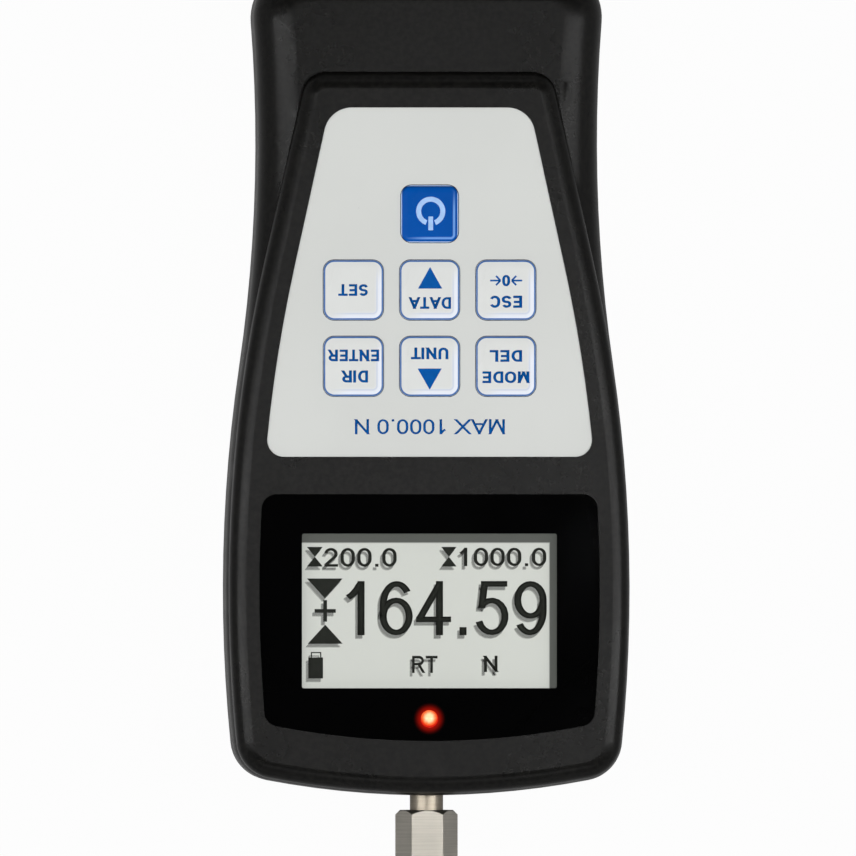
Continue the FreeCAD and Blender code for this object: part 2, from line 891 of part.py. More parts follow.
def front_housing():
    """The front half: a rounded grip with the raised platform, its recesses and inner bosses."""
    edge = parting + size.seam_gap
    grip = case_slab("grip_outer", ZERO, edge, grip_top, size.shoulder_edge, grip_top)
    platform = platform_slab("platform_outer", ZERO, edge, front_top, size.platform_edge)
    outer = fuse("front_outer", [grip, platform])
    below = parting - size.wall
    hollows = [
        case_slab(
            "grip_hollow",
            size.wall,
            below,
            grip_ceiling,
            size.shoulder_edge - size.wall,
            grip_ceiling,
        ),
        platform_slab(
            "platform_hollow",
            size.wall,
            below,
            platform_ceiling,
            size.platform_edge - size.wall,
        ),
        case_slab(
            "tongue_rebate",
            size.tongue_inset - size.fit,
            below,
            parting + size.tongue_height + 2 * size.fit,
        ),
    ]
    shell = cut("front_shell", outer, hollows)
    bosses = [
        rod(f"front_boss{i}", x, y, edge, size.boss_radius, front_top - edge)
        for i, (x, y) in enumerate(CASE_SCREWS)
    ]
    bosses += [
        rod(f"board_boss{i}", x, y, board_top, size.board_boss_radius, front_top - board_top)
        for i, (x, y) in enumerate(BOARD_SCREWS)
    ]
    inside = common("front_inside", outer, fuse("front_fittings", bosses))
    lowered = [
        rod(f"boss_foot{i}", x, y, parting, size.boss_radius, size.seam_gap + size.wall)
        for i, (x, y) in enumerate(CASE_SCREWS)
    ]
    above = front_top + size.overcut
    recesses = [
        keypad_slab("overlay_recess", -size.fit, overlay_floor, above),
        window_slab("window_recess", -size.fit, mask_floor, above),
        box(
            "display_opening",
            ZERO,
            view_y,
            platform_ceiling - size.wall,
            opening_width,
            opening_height,
            2 * size.wall,
        ),
        rod(
            "lamp_hole",
            ZERO,
            lamp_y,
            platform_ceiling - size.wall,
            size.lamp_radius + size.lamp_clearance,
            2 * size.wall,
        ),
    ]
    for name in KEYS:
        x, y = key_place(name)
        side = key_side(name) + 2 * size.key_gap
        floor = overlay_floor - size.key_relief
        recesses.append(
            slab(
                f"pocket_{name}",
                rounded(x, y, side, side, size.key_corner + size.key_gap),
                floor,
                above,
                [],
            )
        )
        recesses.append(
            rod(
                f"stem_hole_{name}",
                x,
                y,
                platform_ceiling - size.overcut,
                size.stem_radius + size.stem_clearance,
                size.wall,
            )
        )
    recesses += [
        rod(
            f"boss_pilot{i}",
            x,
            y,
            parting - size.overcut,
            size.screw_radius + size.screw_fit,
            size.overcut + size.screw_bite + size.fit,
        )
        for i, (x, y) in enumerate(CASE_SCREWS)
    ]
    recesses += [
        rod(
            f"board_pilot{i}",
            x,
            y,
            board_top - size.overcut,
            size.board_screw_radius + size.screw_fit,
            size.overcut + size.board_screw_bite + size.fit,
        )
        for i, (x, y) in enumerate(BOARD_SCREWS)
    ]
    recesses.append(nose_hole("front_nose_hole"))
    recesses += socket_openings()
    whole = fuse("front_whole", [shell, inside] + lowered)
    return piece(cut("front_cut", whole, recesses), "front_housing")


def power_socket_z():
    return board_under - size.power_socket_height / 2


def data_socket_z():
    return board_under - size.data_socket_height / 2


def socket_openings():
    """The ways through the tail wall for the two sockets."""
    start = tail - 4 * size.wall
    reach = 5 * size.wall
    radius = size.power_collar_radius + size.power_opening_gap
    power = bar("power_opening", size.power_socket_x, start, power_socket_z(), radius, reach)
    data = box(
        "data_opening",
        size.data_socket_x,
        start + reach / 2,
        board_under - size.data_socket_height - size.data_opening_gap,
        size.data_socket_width + 2 * size.data_opening_gap,
        reach,
        size.data_socket_height + size.data_opening_gap,
    )
    return [power, data]


def keypad_overlay():
    """The pale panel with an opening round each key."""
    plate = keypad_slab("overlay_plate", ZERO, overlay_floor, overlay_floor + size.overlay_thick)
    openings = []
    for name in KEYS:
        x, y = key_place(name)
        side = key_side(name) + 2 * size.key_gap
        outline = rounded(x, y, side, side, size.key_corner + size.key_gap)
        openings.append(slab(f"opening_{name}", outline, overlay_floor - size.overcut, front_top, []))
    return piece(cut("overlay_cut", plate, openings), "keypad_overlay")


def key_pad(name):
    """One key: a cushioned cap over a stem that reaches the switch under it."""
    x, y = key_place(name)
    side = key_side(name)
    body = new_body(f"key_{name}_body")
    cap = rounded(x, y, side, side, size.key_corner)
    pad(body, f"key_{name}_cap", "XY", overlay_floor, [cap], key_top - overlay_floor)
    round_edges(body, f"key_{name}_edge", size.key_edge, lies_at(key_top))
    stem = circle(x, y, size.stem_radius)
    pad(body, f"key_{name}_stem", "XY", plunger_top, [stem], overlay_floor - plunger_top)
    return piece(body, f"key_{name}")


def switch_plunger(name):
    x, y = key_place(name)
    low = board_top + size.switch_height - size.plunger_hidden
    return piece(
        rod(f"plunger_{name}", x, y, low, size.plunger_radius, plunger_top - low),
        f"plunger_{name}",
    )


def key_switches():
    """Seven switch bases on the board, each with the bore that its plunger slides in."""
    body = new_body("switch_body")
    base = rounded(ZERO, ZERO, size.switch_side, size.switch_side, size.switch_corner)
    pad(body, "switch_base", "XY", ZERO, [base], size.switch_height)
    bore = circle(ZERO, ZERO, size.plunger_radius + size.fit)
    depth = size.plunger_hidden + size.key_travel + 3 * size.fit
    pocket(body, "switch_bore", "XY", size.switch_height, [bore], depth)
    places = [key_place(name) + (board_top,) for name in KEYS]
    return piece(copies("switches", body, places), "key_switches")


def display_window():
    low = mask_floor + size.mask_thick
    plate = window_slab("window_plate", ZERO, low, low + size.window_thick)
    return piece(plate, "display_window")


def window_mask():
    """The dark print behind the window, with the view and the lamp left clear."""
    body = window_slab("mask_body", ZERO, mask_floor, mask_floor + size.mask_thick)
    view = rounded(ZERO, view_y, size.view_width, size.view_height, size.view_corner)
    lamp = circle(ZERO, lamp_y, size.lamp_radius + size.fit)
    pocket(body, "mask_view", "XY", mask_floor + size.mask_thick, [view, lamp], size.mask_thick)
    return piece(body, "window_mask")


def lcd_frame():
    """The sheet-metal bezel that clips the glass and backlight to the board."""
    body = new_body("bezel_body")
    outer = rounded(ZERO, view_y, bezel_width, bezel_height, size.bezel_sheet * 2)
    pad(body, "bezel_pad", "XY", board_top, [outer], bezel_top - board_top)
    opening = rounded(ZERO, view_y, opening_width, opening_height, size.bezel_sheet)
    pocket(body, "bezel_opening", "XY", bezel_top, [opening], bezel_top - board_top)
    inner = rounded(
        ZERO,
        view_y,
        bezel_width - 2 * size.bezel_sheet,
        bezel_height - 2 * size.bezel_sheet,
        size.bezel_sheet,
    )
    level = bezel_top - size.bezel_sheet
    pocket(body, "bezel_hollow", "XY", level, [inner], level - board_top)
    return piece(body, "lcd_frame")


def display_layer(name, low, thick):
    """A layer of the display that fits inside the bezel."""
    width = bezel_width - 2 * size.bezel_sheet - 2 * size.fit
    height = bezel_height - 2 * size.bezel_sheet - 2 * size.fit
    body = new_body(f"{name}_body")
    outline = rounded(ZERO, view_y, width, height, size.bezel_sheet)
    pad(body, f"{name}_pad", "XY", low, [outline], thick)
    return piece(body, name)


def lcd_gasket():
    """The foam ring between the bezel and the inside of the case."""
    body = new_body("gasket_body")
    outer = rounded(ZERO, view_y, bezel_width, bezel_height, size.bezel_sheet * 2)
    opening = rounded(ZERO, view_y, opening_width, opening_height, size.bezel_sheet)
    pad(body, "gasket_pad", "XY", bezel_top, [outer], platform_ceiling - bezel_top)
    pocket(body, "gasket_opening", "XY", platform_ceiling, [opening], platform_ceiling - bezel_top)
    return piece(body, "lcd_gasket")


def status_led():
    """A lamp on the board whose round top ends just under the window."""
    top = mask_floor - size.fit
    shoulder = top - size.lamp_radius
    foot_radius = size.lamp_radius + size.lamp_foot
    foot = rod("lamp_foot", ZERO, lamp_y, board_top, foot_radius, 2 * size.lamp_foot)
    stalk = rod("lamp_stalk", ZERO, lamp_y, board_top, size.lamp_radius, shoulder - board_top)
    dome = DOC.addObject("Part::Sphere", "lamp_dome")
    bind(dome, "Radius", size.lamp_radius)
    place(dome, ZERO, lamp_y, shoulder)
    return piece(fuse("lamp", [foot, stalk, dome]), "status_led")


def main_board():
    """The board hangs from the front shell and is notched round the case screws."""
    wide_length = board_step_y - board_nose_y
    wide = box(
        "board_wide",
        ZERO,
        board_nose_y + wide_length / 2,
        board_under,
        2 * board_half,
        wide_length,
        size.board_thick,
    )
    narrow_length = tail - size.board_tail_gap - board_nose_y
    narrow = box(
        "board_narrow",
        ZERO,
        board_nose_y + narrow_length / 2,
        board_under,
        2 * size.board_tail_half,
        narrow_length,
        size.board_thick,
    )
    tools = [
        rod(
            f"board_notch{i}",
            x,
            y,
            board_under - size.overcut,
            size.boss_radius + size.board_notch_gap,
            size.board_thick + 2 * size.overcut,
        )
        for i, (x, y) in enumerate(CASE_SCREWS)
    ]
    tools += [
        rod(
            f"board_hole{i}",
            x,
            y,
            board_under - size.overcut,
            size.board_screw_radius + size.screw_fit,
            size.board_thick + 2 * size.overcut,
        )
        for i, (x, y) in enumerate(BOARD_SCREWS)
    ]
    return piece(cut("board", fuse("board_blank", [wide, narrow]), tools), "main_board")


def screw(name, radius, head_radius, head_height, reach):
    """A pan-head screw about its own origin, which is under the head. It points up."""
    body = new_body(name)
    pad(body, f"{name}_head", "XY", -head_height, [circle(0, 0, head_radius)], head_height)
    round_edges(body, f"{name}_dome", head_height / 3, lies_at(-head_height))
    pad(body, f"{name}_shank", "XY", ZERO, [circle(0, 0, radius)], reach)
    cross = rounded(ZERO, ZERO, head_radius, head_radius / 4, head_radius / 16)
    upright = rounded(ZERO, ZERO, head_radius / 4, head_radius, head_radius / 16)
    depth = head_height / 2
    pocket(body, f"{name}_slot", "XY", -head_height + depth, [cross], depth)
    pocket(body, f"{name}_cross", "XY", -head_height + depth, [upright], depth)
    return body


def housing_screws():
    reach = parting + size.screw_bite - size.screw_seat
    body = screw("case_screw", size.screw_radius, size.screw_head_radius, size.screw_head_height, reach)
    places = [(x, y, size.screw_seat) for x, y in CASE_SCREWS]
    return piece(copies("case_screws", body, places), "housing_screws")


def board_screws():
    radius = size.board_screw_radius
    reach = size.board_thick + size.board_screw_bite
    body = screw("board_screw", radius, 2 * radius, radius * 1.2, reach)
    places = [(x, y, board_under) for x, y in BOARD_SCREWS]
    return piece(copies("small_screws", body, places), "board_screws")


def chassis_screws():
    """Screws from inside, down through the plate into the seats of the rear shell."""
    radius = size.screw_radius
    reach = size.plate_thick + size.chassis_screw_bite
    shanks = [
        rod(f"chassis_shank{i}", x, y, plate_top - reach, radius, reach + size.overcut)
        for i, (x, y) in enumerate(CHASSIS_SCREWS)
    ]
    heads = [
        rod(f"chassis_head{i}", x, y, plate_top, size.screw_head_radius, size.screw_head_height)
        for i, (x, y) in enumerate(CHASSIS_SCREWS)
    ]
    whole = [fuse(f"chassis_screw{i}", pair) for i, pair in enumerate(zip(shanks, heads))]
    return piece(group("chassis_screw_group", whole), "chassis_screws")


def board_part(name, x, y, width, depth, height):
    """Something soldered under the board."""
    return box(name, x, y, board_under - height, width, depth, height)


def board_chips():
    """The larger parts under the board: processor, converter, memory, regulator, capacitors."""
    mid = low_row_y + size.key_pitch
    pitch = size.key_pitch
    side = size.switch_side
    tall = 2 * size.board_thick
    parts = [
        board_part("processor", ZERO, mid, 2 * side, 2 * side, size.board_thick),
        board_part("converter", pitch, low_row_y - pitch, 1.5 * side, side, size.board_thick),
        board_part("memory", -pitch, low_row_y, side, side, size.board_thick),
        board_part("regulator", -pitch, mid + pitch, side, 1.5 * side, size.board_thick),
        board_part("sensor_header", -pitch, low_row_y - pitch, 2 * side, side, tall),
        board_part("battery_header", ZERO, mid + 2 * pitch, 2 * side, side, tall),
        rod("capacitor", pitch, low_row_y, board_under - tall, side / 3, tall),
    ]
    return piece(group("chips", parts), "board_chips")


def buzzer():
    x, y = size.key_pitch, low_row_y + 2 * size.key_pitch
    case = rod("buzzer_case", x, y, board_under - size.buzzer_height, size.buzzer_radius, size.buzzer_height)
    hole = rod(
        "buzzer_hole",
        x,
        y,
        board_under - size.buzzer_height - size.overcut,
        size.buzzer_radius / 5,
        size.overcut + size.buzzer_height / 2,
    )
    return piece(cut("buzzer_cut", case, [hole]), "buzzer")


def bush_radius():
    return size.axle_radius + size.bush_wall


def lug_outline():
    half = size.lug_width / 2
    top, foot, r = axle_z + size.lug_rise, plate_top - size.plate_thick / 2, size.lug_corner
    return [
        line((-half, foot), (half, foot)),
        line((half, foot), (half, top - r)),
        arc((half, top - r), (half - r, top), r, -1),
        line((half - r, top), (-half + r, top)),
        arc((-half + r, top), (-half, top - r), r, -1),
        line((-half, top - r), (-half, foot)),
    ]


def chassis_frame():
    """A steel plate with two lugs: the nose lug guides the axle, the tail lug holds the cell."""
    body = new_body("chassis_body")
    middle = (plate_nose_y + plate_tail_y) / 2
    plate = rounded(ZERO, middle, size.plate_width, plate_length, size.plate_corner)
    pad(body, "chassis_plate", "XY", size.plate_lift, [plate], size.plate_thick)
    nose_lug = [lug_outline(), circle(ZERO, axle_z, bush_radius() + size.screw_fit)]
    tail_lug = [lug_outline(), circle(ZERO, axle_z, size.axle_radius + size.screw_fit)]
    pad(body, "nose_lug", "XZ", -(plate_nose_y + size.lug_thick), nose_lug, size.lug_thick)
    pad(body, "tail_lug", "XZ", -(tail_lug_y + size.lug_thick), tail_lug, size.lug_thick)
    holes = [circle(x, y, size.screw_radius + size.fit) for x, y in CHASSIS_SCREWS]
    holes += [circle(x, y, size.stand_thread_radius) for x, y in STAND_HOLES]
    pocket(body, "plate_holes", "XY", plate_top, holes, size.plate_thick)
    tail_gap = plate_tail_y - tail_lug_y - size.lug_thick
    relief = rounded(
        ZERO,
        tail_lug_y + size.lug_thick + tail_gap / 2,
        size.plate_width / 3,
        tail_gap / 2,
        size.plate_corner,
    )
    pocket(body, "plate_relief", "XY", plate_top, [relief], size.plate_thick)
    return piece(body, "chassis_frame")


def mounting_posts():
    """Threaded posts under the plate, flush with the back, for a stand's four screws."""
    body = new_body("post_body")
    ring = [circle(0, 0, size.post_radius), circle(0, 0, size.stand_thread_radius)]
    pad(body, "post_pad", "XY", ZERO, ring, size.plate_lift)
    places = [(x, y, ZERO) for x, y in STAND_HOLES]
    return piece(copies("posts", body, places), "mounting_posts")


def load_cell():
    """An S-shaped cell: two slots from opposite sides leave a web that bends in shear."""
    body = new_body("cell_body")
    half = size.cell_width / 2
    block = rounded(ZERO, cell_y, size.cell_width, size.cell_length, size.plate_corner / 4)
    low = axle_z - size.cell_height / 2
    pad(body, "cell_block", "XY", low, [block], size.cell_height)
    slot_shift = size.cell_length / 2 - size.cell_thread_depth - size.cell_thread_floor - size.cell_slot / 2
    for name, side in (("nose_slot", 1), ("tail_slot", -1)):
        y = cell_y - side * slot_shift
        near, far = side * (half + size.overcut), side * (size.cell_hinge - half)
        slot = polygon(
            [
                (near, y - size.cell_slot / 2),
                (near, y + size.cell_slot / 2),
                (far, y + size.cell_slot / 2),
                (far, y - size.cell_slot / 2),
            ]
        )
        pocket(body, name, "XY", low + size.cell_height, [slot], size.cell_height)
    depth = (size.cell_height - size.web_thick) / 2
    ring = [circle(ZERO, cell_y, size.web_radius)]
    pocket(body, "upper_web", "XY", low + size.cell_height, ring, depth)
    pocket(body, "lower_web", "XY", low + depth, ring, depth)
    bore = [circle(ZERO, axle_z, size.axle_radius + size.screw_fit)]
    pocket(body, "tail_thread", "XZ", -cell_tail_y, bore, -size.cell_thread_depth)
    pocket(body, "nose_thread", "XZ", -cell_nose_y, bore, size.cell_thread_depth)
    return piece(body, "load_cell")


def strain_gauges():
    """Four foil gauges glued to the web, two above and two below."""
    side = size.web_radius / 2
    top = axle_z + size.web_thick / 2
    under = axle_z - size.web_thick / 2 - size.gauge_thick
    foils = [
        box(f"foil_{label}{i}", x, cell_y, level, side, side, size.gauge_thick)
        for label, level in (("top", top), ("under", under))
        for i, x in enumerate((-side * 2 / 3, side * 2 / 3))
    ]
    return piece(group("foils", foils), "strain_gauges")


def cell_spacer():
    ring = bar("spacer_ring", ZERO, cell_tail_y, axle_z, size.spacer_radius, size.spacer_thick)
    bore = bar("spacer_bore", ZERO, cell_tail_y, axle_z, size.axle_radius + size.screw_fit, size.spacer_thick)
    return piece(cut("spacer", ring, [bore]), "cell_spacer")


def hexagon(flats):
    """A hexagon in the XZ plane about the axle's line, with two flats facing up and down."""
    corner = flats / math.sqrt(3)
    points = []
    for i in range(HEX_SIDES):
        angle = 2 * math.pi * i / HEX_SIDES
        points.append((corner * math.cos(angle), axle_z + corner * math.sin(angle)))
    return polygon(points)


def anchor_bolt():
    """Holds the tail end of the cell to the tail lug."""
    body = new_body("anchor_body")
    head_y_near = tail_lug_y + size.lug_thick
    head = hexagon(size.anchor_flats)
    pad(body, "anchor_head", "XZ", -(head_y_near + size.anchor_head), [head], size.anchor_head)
    reach = head_y_near - cell_tail_y + size.cell_thread_depth - size.overcut
    shank = circle(ZERO, axle_z, size.axle_radius)
    pad(body, "anchor_shank", "XZ", -head_y_near, [shank], reach)
    return piece(body, "anchor_bolt")


def axle_bushing():
    """A flanged bush in the nose lug."""
    sleeve = bar("bush_sleeve", ZERO, plate_nose_y, axle_z, bush_radius(), size.lug_thick)
    flange = bar(
        "bush_collar",
        ZERO,
        plate_nose_y - size.bush_flange,
        axle_z,
        bush_radius() + size.bush_flange,
        size.bush_flange,
    )
    bore = bar(
        "bush_bore",
        ZERO,
        plate_nose_y - 2 * size.bush_flange,
        axle_z,
        size.axle_radius + size.screw_fit,
        size.lug_thick + 3 * size.bush_flange,
    )
    return piece(cut("bush", fuse("bush_blank", [sleeve, flange]), [bore]), "axle_bushing")


def measuring_axle():
    """The steel axle, from inside the load cell to inside the adapter, with eased ends."""
    start = hex_y - size.hex_socket
    end = cell_nose_y + size.cell_thread_depth - size.axle_travel - 3 * size.fit
    r, ease = size.axle_radius, size.axle_radius / 8
    body = new_body("axle_body")
    points = [
        (ZERO, start),
        (r - ease, start),
        (r, start + ease),
        (r, end - ease),
        (r - ease, end),
        (ZERO, end),
    ]
    revolve(body, "axle_turning", "XY", points)
    axle = DOC.addObject("App::Link", "axle")
    axle.LinkedObject = body
    place(axle, ZERO, ZERO, axle_z)
    return piece(group("axle_group", [axle]), "measuring_axle")


def hex_adapter():
    """A hexagonal coupling on the axle: chamfered both ends, threaded at its free end."""
    body = new_body("adapter_body")
    free_y = hex_y - size.hex_length
    pad(body, "adapter_hexagon", "XZ", -hex_y, [hexagon(size.hex_flats)], size.hex_length)
    chamfer = size.hex_chamfer
    blank = new_body("adapter_blank")
    points = [
        (ZERO, free_y),
        (hex_corner - chamfer, free_y),
        (hex_corner, free_y + chamfer),
        (hex_corner, hex_y - chamfer),
        (hex_corner - chamfer, hex_y),
        (ZERO, hex_y),
    ]
    revolve(blank, "adapter_turning", "XY", points)
    turned = DOC.addObject("App::Link", "adapter_turned")
    turned.LinkedObject = blank
    place(turned, ZERO, ZERO, axle_z)
    shaped = common("adapter_shape", body, turned)
    socket = bar(
        "adapter_socket",
        ZERO,
        hex_y - size.hex_socket,
        axle_z,
        size.axle_radius + size.screw_fit / 5,
        size.hex_socket + size.overcut,
    )
    thread = bar(
        "adapter_thread",
        ZERO,
        free_y - size.overcut,
        axle_z,
        size.hex_thread_radius,
        size.hex_thread_depth + size.overcut,
    )
    return piece(cut("adapter", shaped, [socket, thread]), "hex_adapter")


def battery_cells():
    """Six slim cells side by side, each with its raised contact."""
    cells = []
    contact = size.battery_radius / 6
    for i in range(BATTERY_COUNT):
        x = battery_pitch * (i - (BATTERY_COUNT - 1) / 2)
        can = bar(f"can{i}", x, battery_y, battery_z, size.battery_radius, size.battery_length - contact)
        knob = bar(f"contact{i}", x, battery_y, battery_z, size.battery_radius / 2, size.battery_length)
        cells.append(fuse(f"cell{i}", [can, knob]))
    return piece(group("cells", cells), "battery_cells")


def battery_sleeve():
    """The shrink sleeve round the cells, open at both ends."""
    inner = size.battery_radius + size.fit
    outer = inner + size.sleeve_thick
    width = 2 * pack_half
    body = new_body("sleeve_body")
    skin = rounded(ZERO, battery_z, width, 2 * outer, outer - size.fit)
    core = rounded(ZERO, battery_z, width - 2 * size.sleeve_thick, 2 * inner, inner - size.fit)
    pad(body, "sleeve_pad", "XZ", -battery_top_y, [skin], size.battery_length)
    pocket(body, "sleeve_core", "XZ", -battery_y, [core], size.battery_length)
    return piece(body, "battery_sleeve")


def power_socket():
    """The barrel jack: a block under the board, with a collar through the tail wall."""
    x, z = size.power_socket_x, power_socket_z()
    face = tail - size.socket_setback
    middle = face - size.power_socket_length / 2
    block = board_part(
        "jack_block", x, middle, size.power_socket_width, size.power_socket_length, size.power_socket_height
    )
    reach = size.socket_setback - size.socket_recess
    collar = bar("jack_collar", x, face - size.overcut, z, size.power_collar_radius, reach + size.overcut)
    depth = size.power_socket_length * 3 / 4
    bore = bar("jack_bore", x, face - depth, z, size.power_bore_radius, depth + 2 * size.wall)
    pin = bar("jack_pin", x, face - depth - size.overcut, z, size.power_pin_radius, depth + size.overcut)
    hollow = cut("jack_hollow", fuse("jack_blank", [block, collar]), [bore])
    return piece(fuse("jack", [hollow, pin]), "power_socket")


def data_socket():
    """A small shielded data socket with its contact tongue."""
    x, shell = size.data_socket_x, size.data_shell
    face = tail - size.socket_recess
    middle = face - size.data_socket_length / 2
    width, length, height = size.data_socket_width, size.data_socket_length, size.data_socket_height
    outer = board_part("data_shell_block", x, middle, width, length, height)
    inner = box(
        "data_bore",
        x,
        middle + shell,
        board_under - height + shell,
        width - 2 * shell,
        length,
        height - 2 * shell,
    )
    tongue = box(
        "data_tongue",
        x,
        middle - size.socket_recess / 2,
        data_socket_z() - size.data_contact_height / 2,
        size.data_contact_width,
        length - size.socket_recess,
        size.data_contact_height,
    )
    return piece(fuse("data", [cut("data_shell_cut", outer, [inner]), tongue]), "data_socket")


def build():
    rear_housing()
    front_housing()
    keypad_overlay()
    for name in KEYS:
        key_pad(name)
        switch_plunger(name)
    key_switches()
    display_window()
    window_mask()
    lcd_frame()
    display_layer("lcd_backlight", board_top, size.backlight_thick)
    display_layer("lcd_glass", glass_under, size.glass_thick)
    lcd_gasket()
    status_led()
    main_board()
    board_chips()
    buzzer()
    chassis_frame()
    mounting_posts()
    load_cell()
    strain_gauges()
    cell_spacer()
    anchor_bolt()
    axle_bushing()
    measuring_axle()
    hex_adapter()
    battery_cells()
    battery_sleeve()
    power_socket()
    data_socket()
    housing_screws()
    board_screws()
    chassis_screws()


def write_pieces():
    """Checks every object and every piece's shape, then writes one file per piece."""
    DOC.recompute()
    failed = [item.Name for item in DOC.Objects if {"Invalid", "Error"} & set(item.State)]
    if failed:
        raise RuntimeError("failed objects: " + ", ".join(failed))
    for item in PIECES:
        if item.Shape.isNull() or not item.Shape.isValid() or not item.Shape.Solids:
            raise RuntimeError("bad shape: " + item.Label)
    os.makedirs("parts", exist_ok=True)
    for item in PIECES:
        item.Shape.exportStep(f"parts/{item.Label}.step")


build()
write_pieces()
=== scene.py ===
import json
import math

import bpy
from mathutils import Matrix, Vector


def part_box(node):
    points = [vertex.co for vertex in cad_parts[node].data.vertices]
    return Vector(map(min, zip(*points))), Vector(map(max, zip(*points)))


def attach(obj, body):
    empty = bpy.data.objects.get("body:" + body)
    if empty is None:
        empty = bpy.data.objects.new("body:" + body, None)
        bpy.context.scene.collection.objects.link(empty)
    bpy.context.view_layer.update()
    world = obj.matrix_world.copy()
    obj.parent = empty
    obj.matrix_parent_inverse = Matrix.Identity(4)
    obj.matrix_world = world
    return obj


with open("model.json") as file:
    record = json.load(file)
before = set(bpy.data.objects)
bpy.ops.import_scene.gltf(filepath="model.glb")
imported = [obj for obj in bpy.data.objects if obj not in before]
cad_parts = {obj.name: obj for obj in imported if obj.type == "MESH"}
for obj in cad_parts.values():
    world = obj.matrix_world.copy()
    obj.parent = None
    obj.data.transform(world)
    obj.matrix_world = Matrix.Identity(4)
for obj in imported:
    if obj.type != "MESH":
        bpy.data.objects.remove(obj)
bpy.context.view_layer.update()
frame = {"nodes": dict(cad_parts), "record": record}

MM = 0.001

# The camera, in mm and degrees: far off, because the photograph has almost no perspective

CAMERA_DISTANCE = 8000.0
CAMERA_LEAN = 2.0
FIELD_WIDTH = 205.4
FIELD_CENTRE = (-0.4, -11.7)

# Sizes on the gauge, in mm

VIEW_WIDTH = 61.2
VIEW_HEIGHT = 37.1
# The band of painted shadow that the mask's edge casts inside the top and right of the display's view, and
# its soft edge
SHADOW_BAND_TOP = 2.2
SHADOW_BAND_SIDE = 1.7
SHADOW_BAND_BLUR = 0.22
DOT_PITCH = 0.48
GRID_STRENGTH = 0.05
KEY_CORNER = 2.6
POWER_CORNER = 1.9
GLOW_REACH = 4.2
GLOW_START = 1.9
INK = 0.03
INK_LIFT = 0.008
FIGURE_LIFT = 0.06
FLOOR_DROP = 0.3

# Colours, linear

BLACK_MOULDING = (0.0035, 0.0033, 0.0028, 1.0)
PANEL_GREY = (0.665, 0.680, 0.655, 1.0)
PANEL_TOOTH = (0.60, 0.61, 0.60, 1.0)
PANEL_SPECK = (0.36, 0.37, 0.38, 1.0)
KEY_WHITE = (0.735, 0.750, 0.735, 1.0)
# Painted highlight on the pale keys' lit side and rim
GLOW_WHITE = (0.840, 0.880, 0.980, 1.0)
INK_BLUE = (0.001, 0.092, 0.370, 1.0)
LINE_BLUE = (0.045, 0.150, 0.420, 1.0)
# Painted shade line inside the pale keys' lit side
SHADE_LINE_BLUE = (0.30, 0.42, 0.75, 1.0)
KEY_BLUE = (0.0006, 0.080, 0.390, 1.0)
# Painted shade on the blue key's far edge
SHADED_KEY_BLUE = (0.0008, 0.045, 0.200, 1.0)
# Painted highlight on the blue key's near and right side
HIGHLIGHT_BLUE = (0.22, 0.45, 0.95, 1.0)
# Painted highlight on the blue key's rim
RIM_HIGHLIGHT_BLUE = (0.55, 0.70, 0.95, 1.0)
SYMBOL_BLUE = (0.400, 0.600, 0.950, 1.0)
CLEAR_ACRYLIC = (0.92, 0.93, 0.94, 1.0)
ACRYLIC_IOR = 1.49
DISPLAY_GREY = (0.630, 0.650, 0.605, 1.0)
DISPLAY_GRID = (0.48, 0.50, 0.46, 1.0)
DISPLAY_MATT = (0.45, 0.45, 0.45, 1.0)
# Painted shadow: the grey of the band that the mask's edge casts on the display
MASK_SHADOW_TONE = (0.094, 0.100, 0.090, 1.0)
FIGURE_BLACK = (0.021, 0.023, 0.019, 1.0)
SHADOW_GREY = (0.100, 0.105, 0.100, 1.0)
GLOSS_BLACK = (0.0004, 0.0004, 0.0005, 1.0)
NO_LIGHT = (0.0, 0.0, 0.0, 1.0)
GLOW_RED = (0.34, 0.006, 0.002, 1.0)
LAMP_HEART = (1.0, 0.86, 0.46, 1.0)
LAMP_ORANGE = (1.0, 0.17, 0.040, 1.0)
LAMP_RED = (0.70, 0.014, 0.005, 1.0)
LAMP_BODY = (0.30, 0.02, 0.01, 1.0)
LAMINATE_GREEN = (0.020, 0.160, 0.070, 1.0)
WEAVE_GREEN = (0.04, 0.24, 0.10, 1.0)
AXLE_STEEL = (0.325, 0.287, 0.231, 1.0)
ADAPTER_STEEL = (0.495, 0.467, 0.412, 1.0)
FLOOR_GREY = (0.28, 0.28, 0.28, 1.0)
WHITE = (1.0, 1.0, 1.0, 1.0)

# How fine the patterns are, in waves per metre, and the part of a noise's range that they use

FINE_GRAIN = 5200.0
MOTTLE = 850.0
NOISE_SPAN = (0.3, 0.7)
HANDLED_SPAN = (0.32, 0.68)


# Small helpers for node trees

def add_node(tree, kind, settings=None, **inputs):
    """Adds a node; an input that is given a socket is linked, and any other is set."""
    node = tree.nodes.new(kind)
    for name, value in (settings or {}).items():
        setattr(node, name, value)
    for name, value in inputs.items():
        fill(tree, node.inputs[name.replace("_", " ")], value)
    return node


def fill(tree, socket, value):
    if isinstance(value, bpy.types.NodeSocket):
        tree.links.new(value, socket)
    else:
        socket.default_value = value


def reckon(tree, operation, *values):
    node = tree.nodes.new("ShaderNodeMath")
    node.operation = operation
    for socket, value in zip(node.inputs, values):
        fill(tree, socket, value)
    return node.outputs[0]


def between(tree, value, low, high, new_low=0.0, new_high=1.0):
    """Runs smoothly from new_low to new_high as value runs from low to high."""
    node = add_node(tree, "ShaderNodeMapRange", {"interpolation_type": "SMOOTHSTEP"}, Value=value)
    for name, number in (("From Min", low), ("From Max", high), ("To Min", new_low), ("To Max", new_high)):
        fill(tree, node.inputs[name], number)
    return node.outputs["Result"]


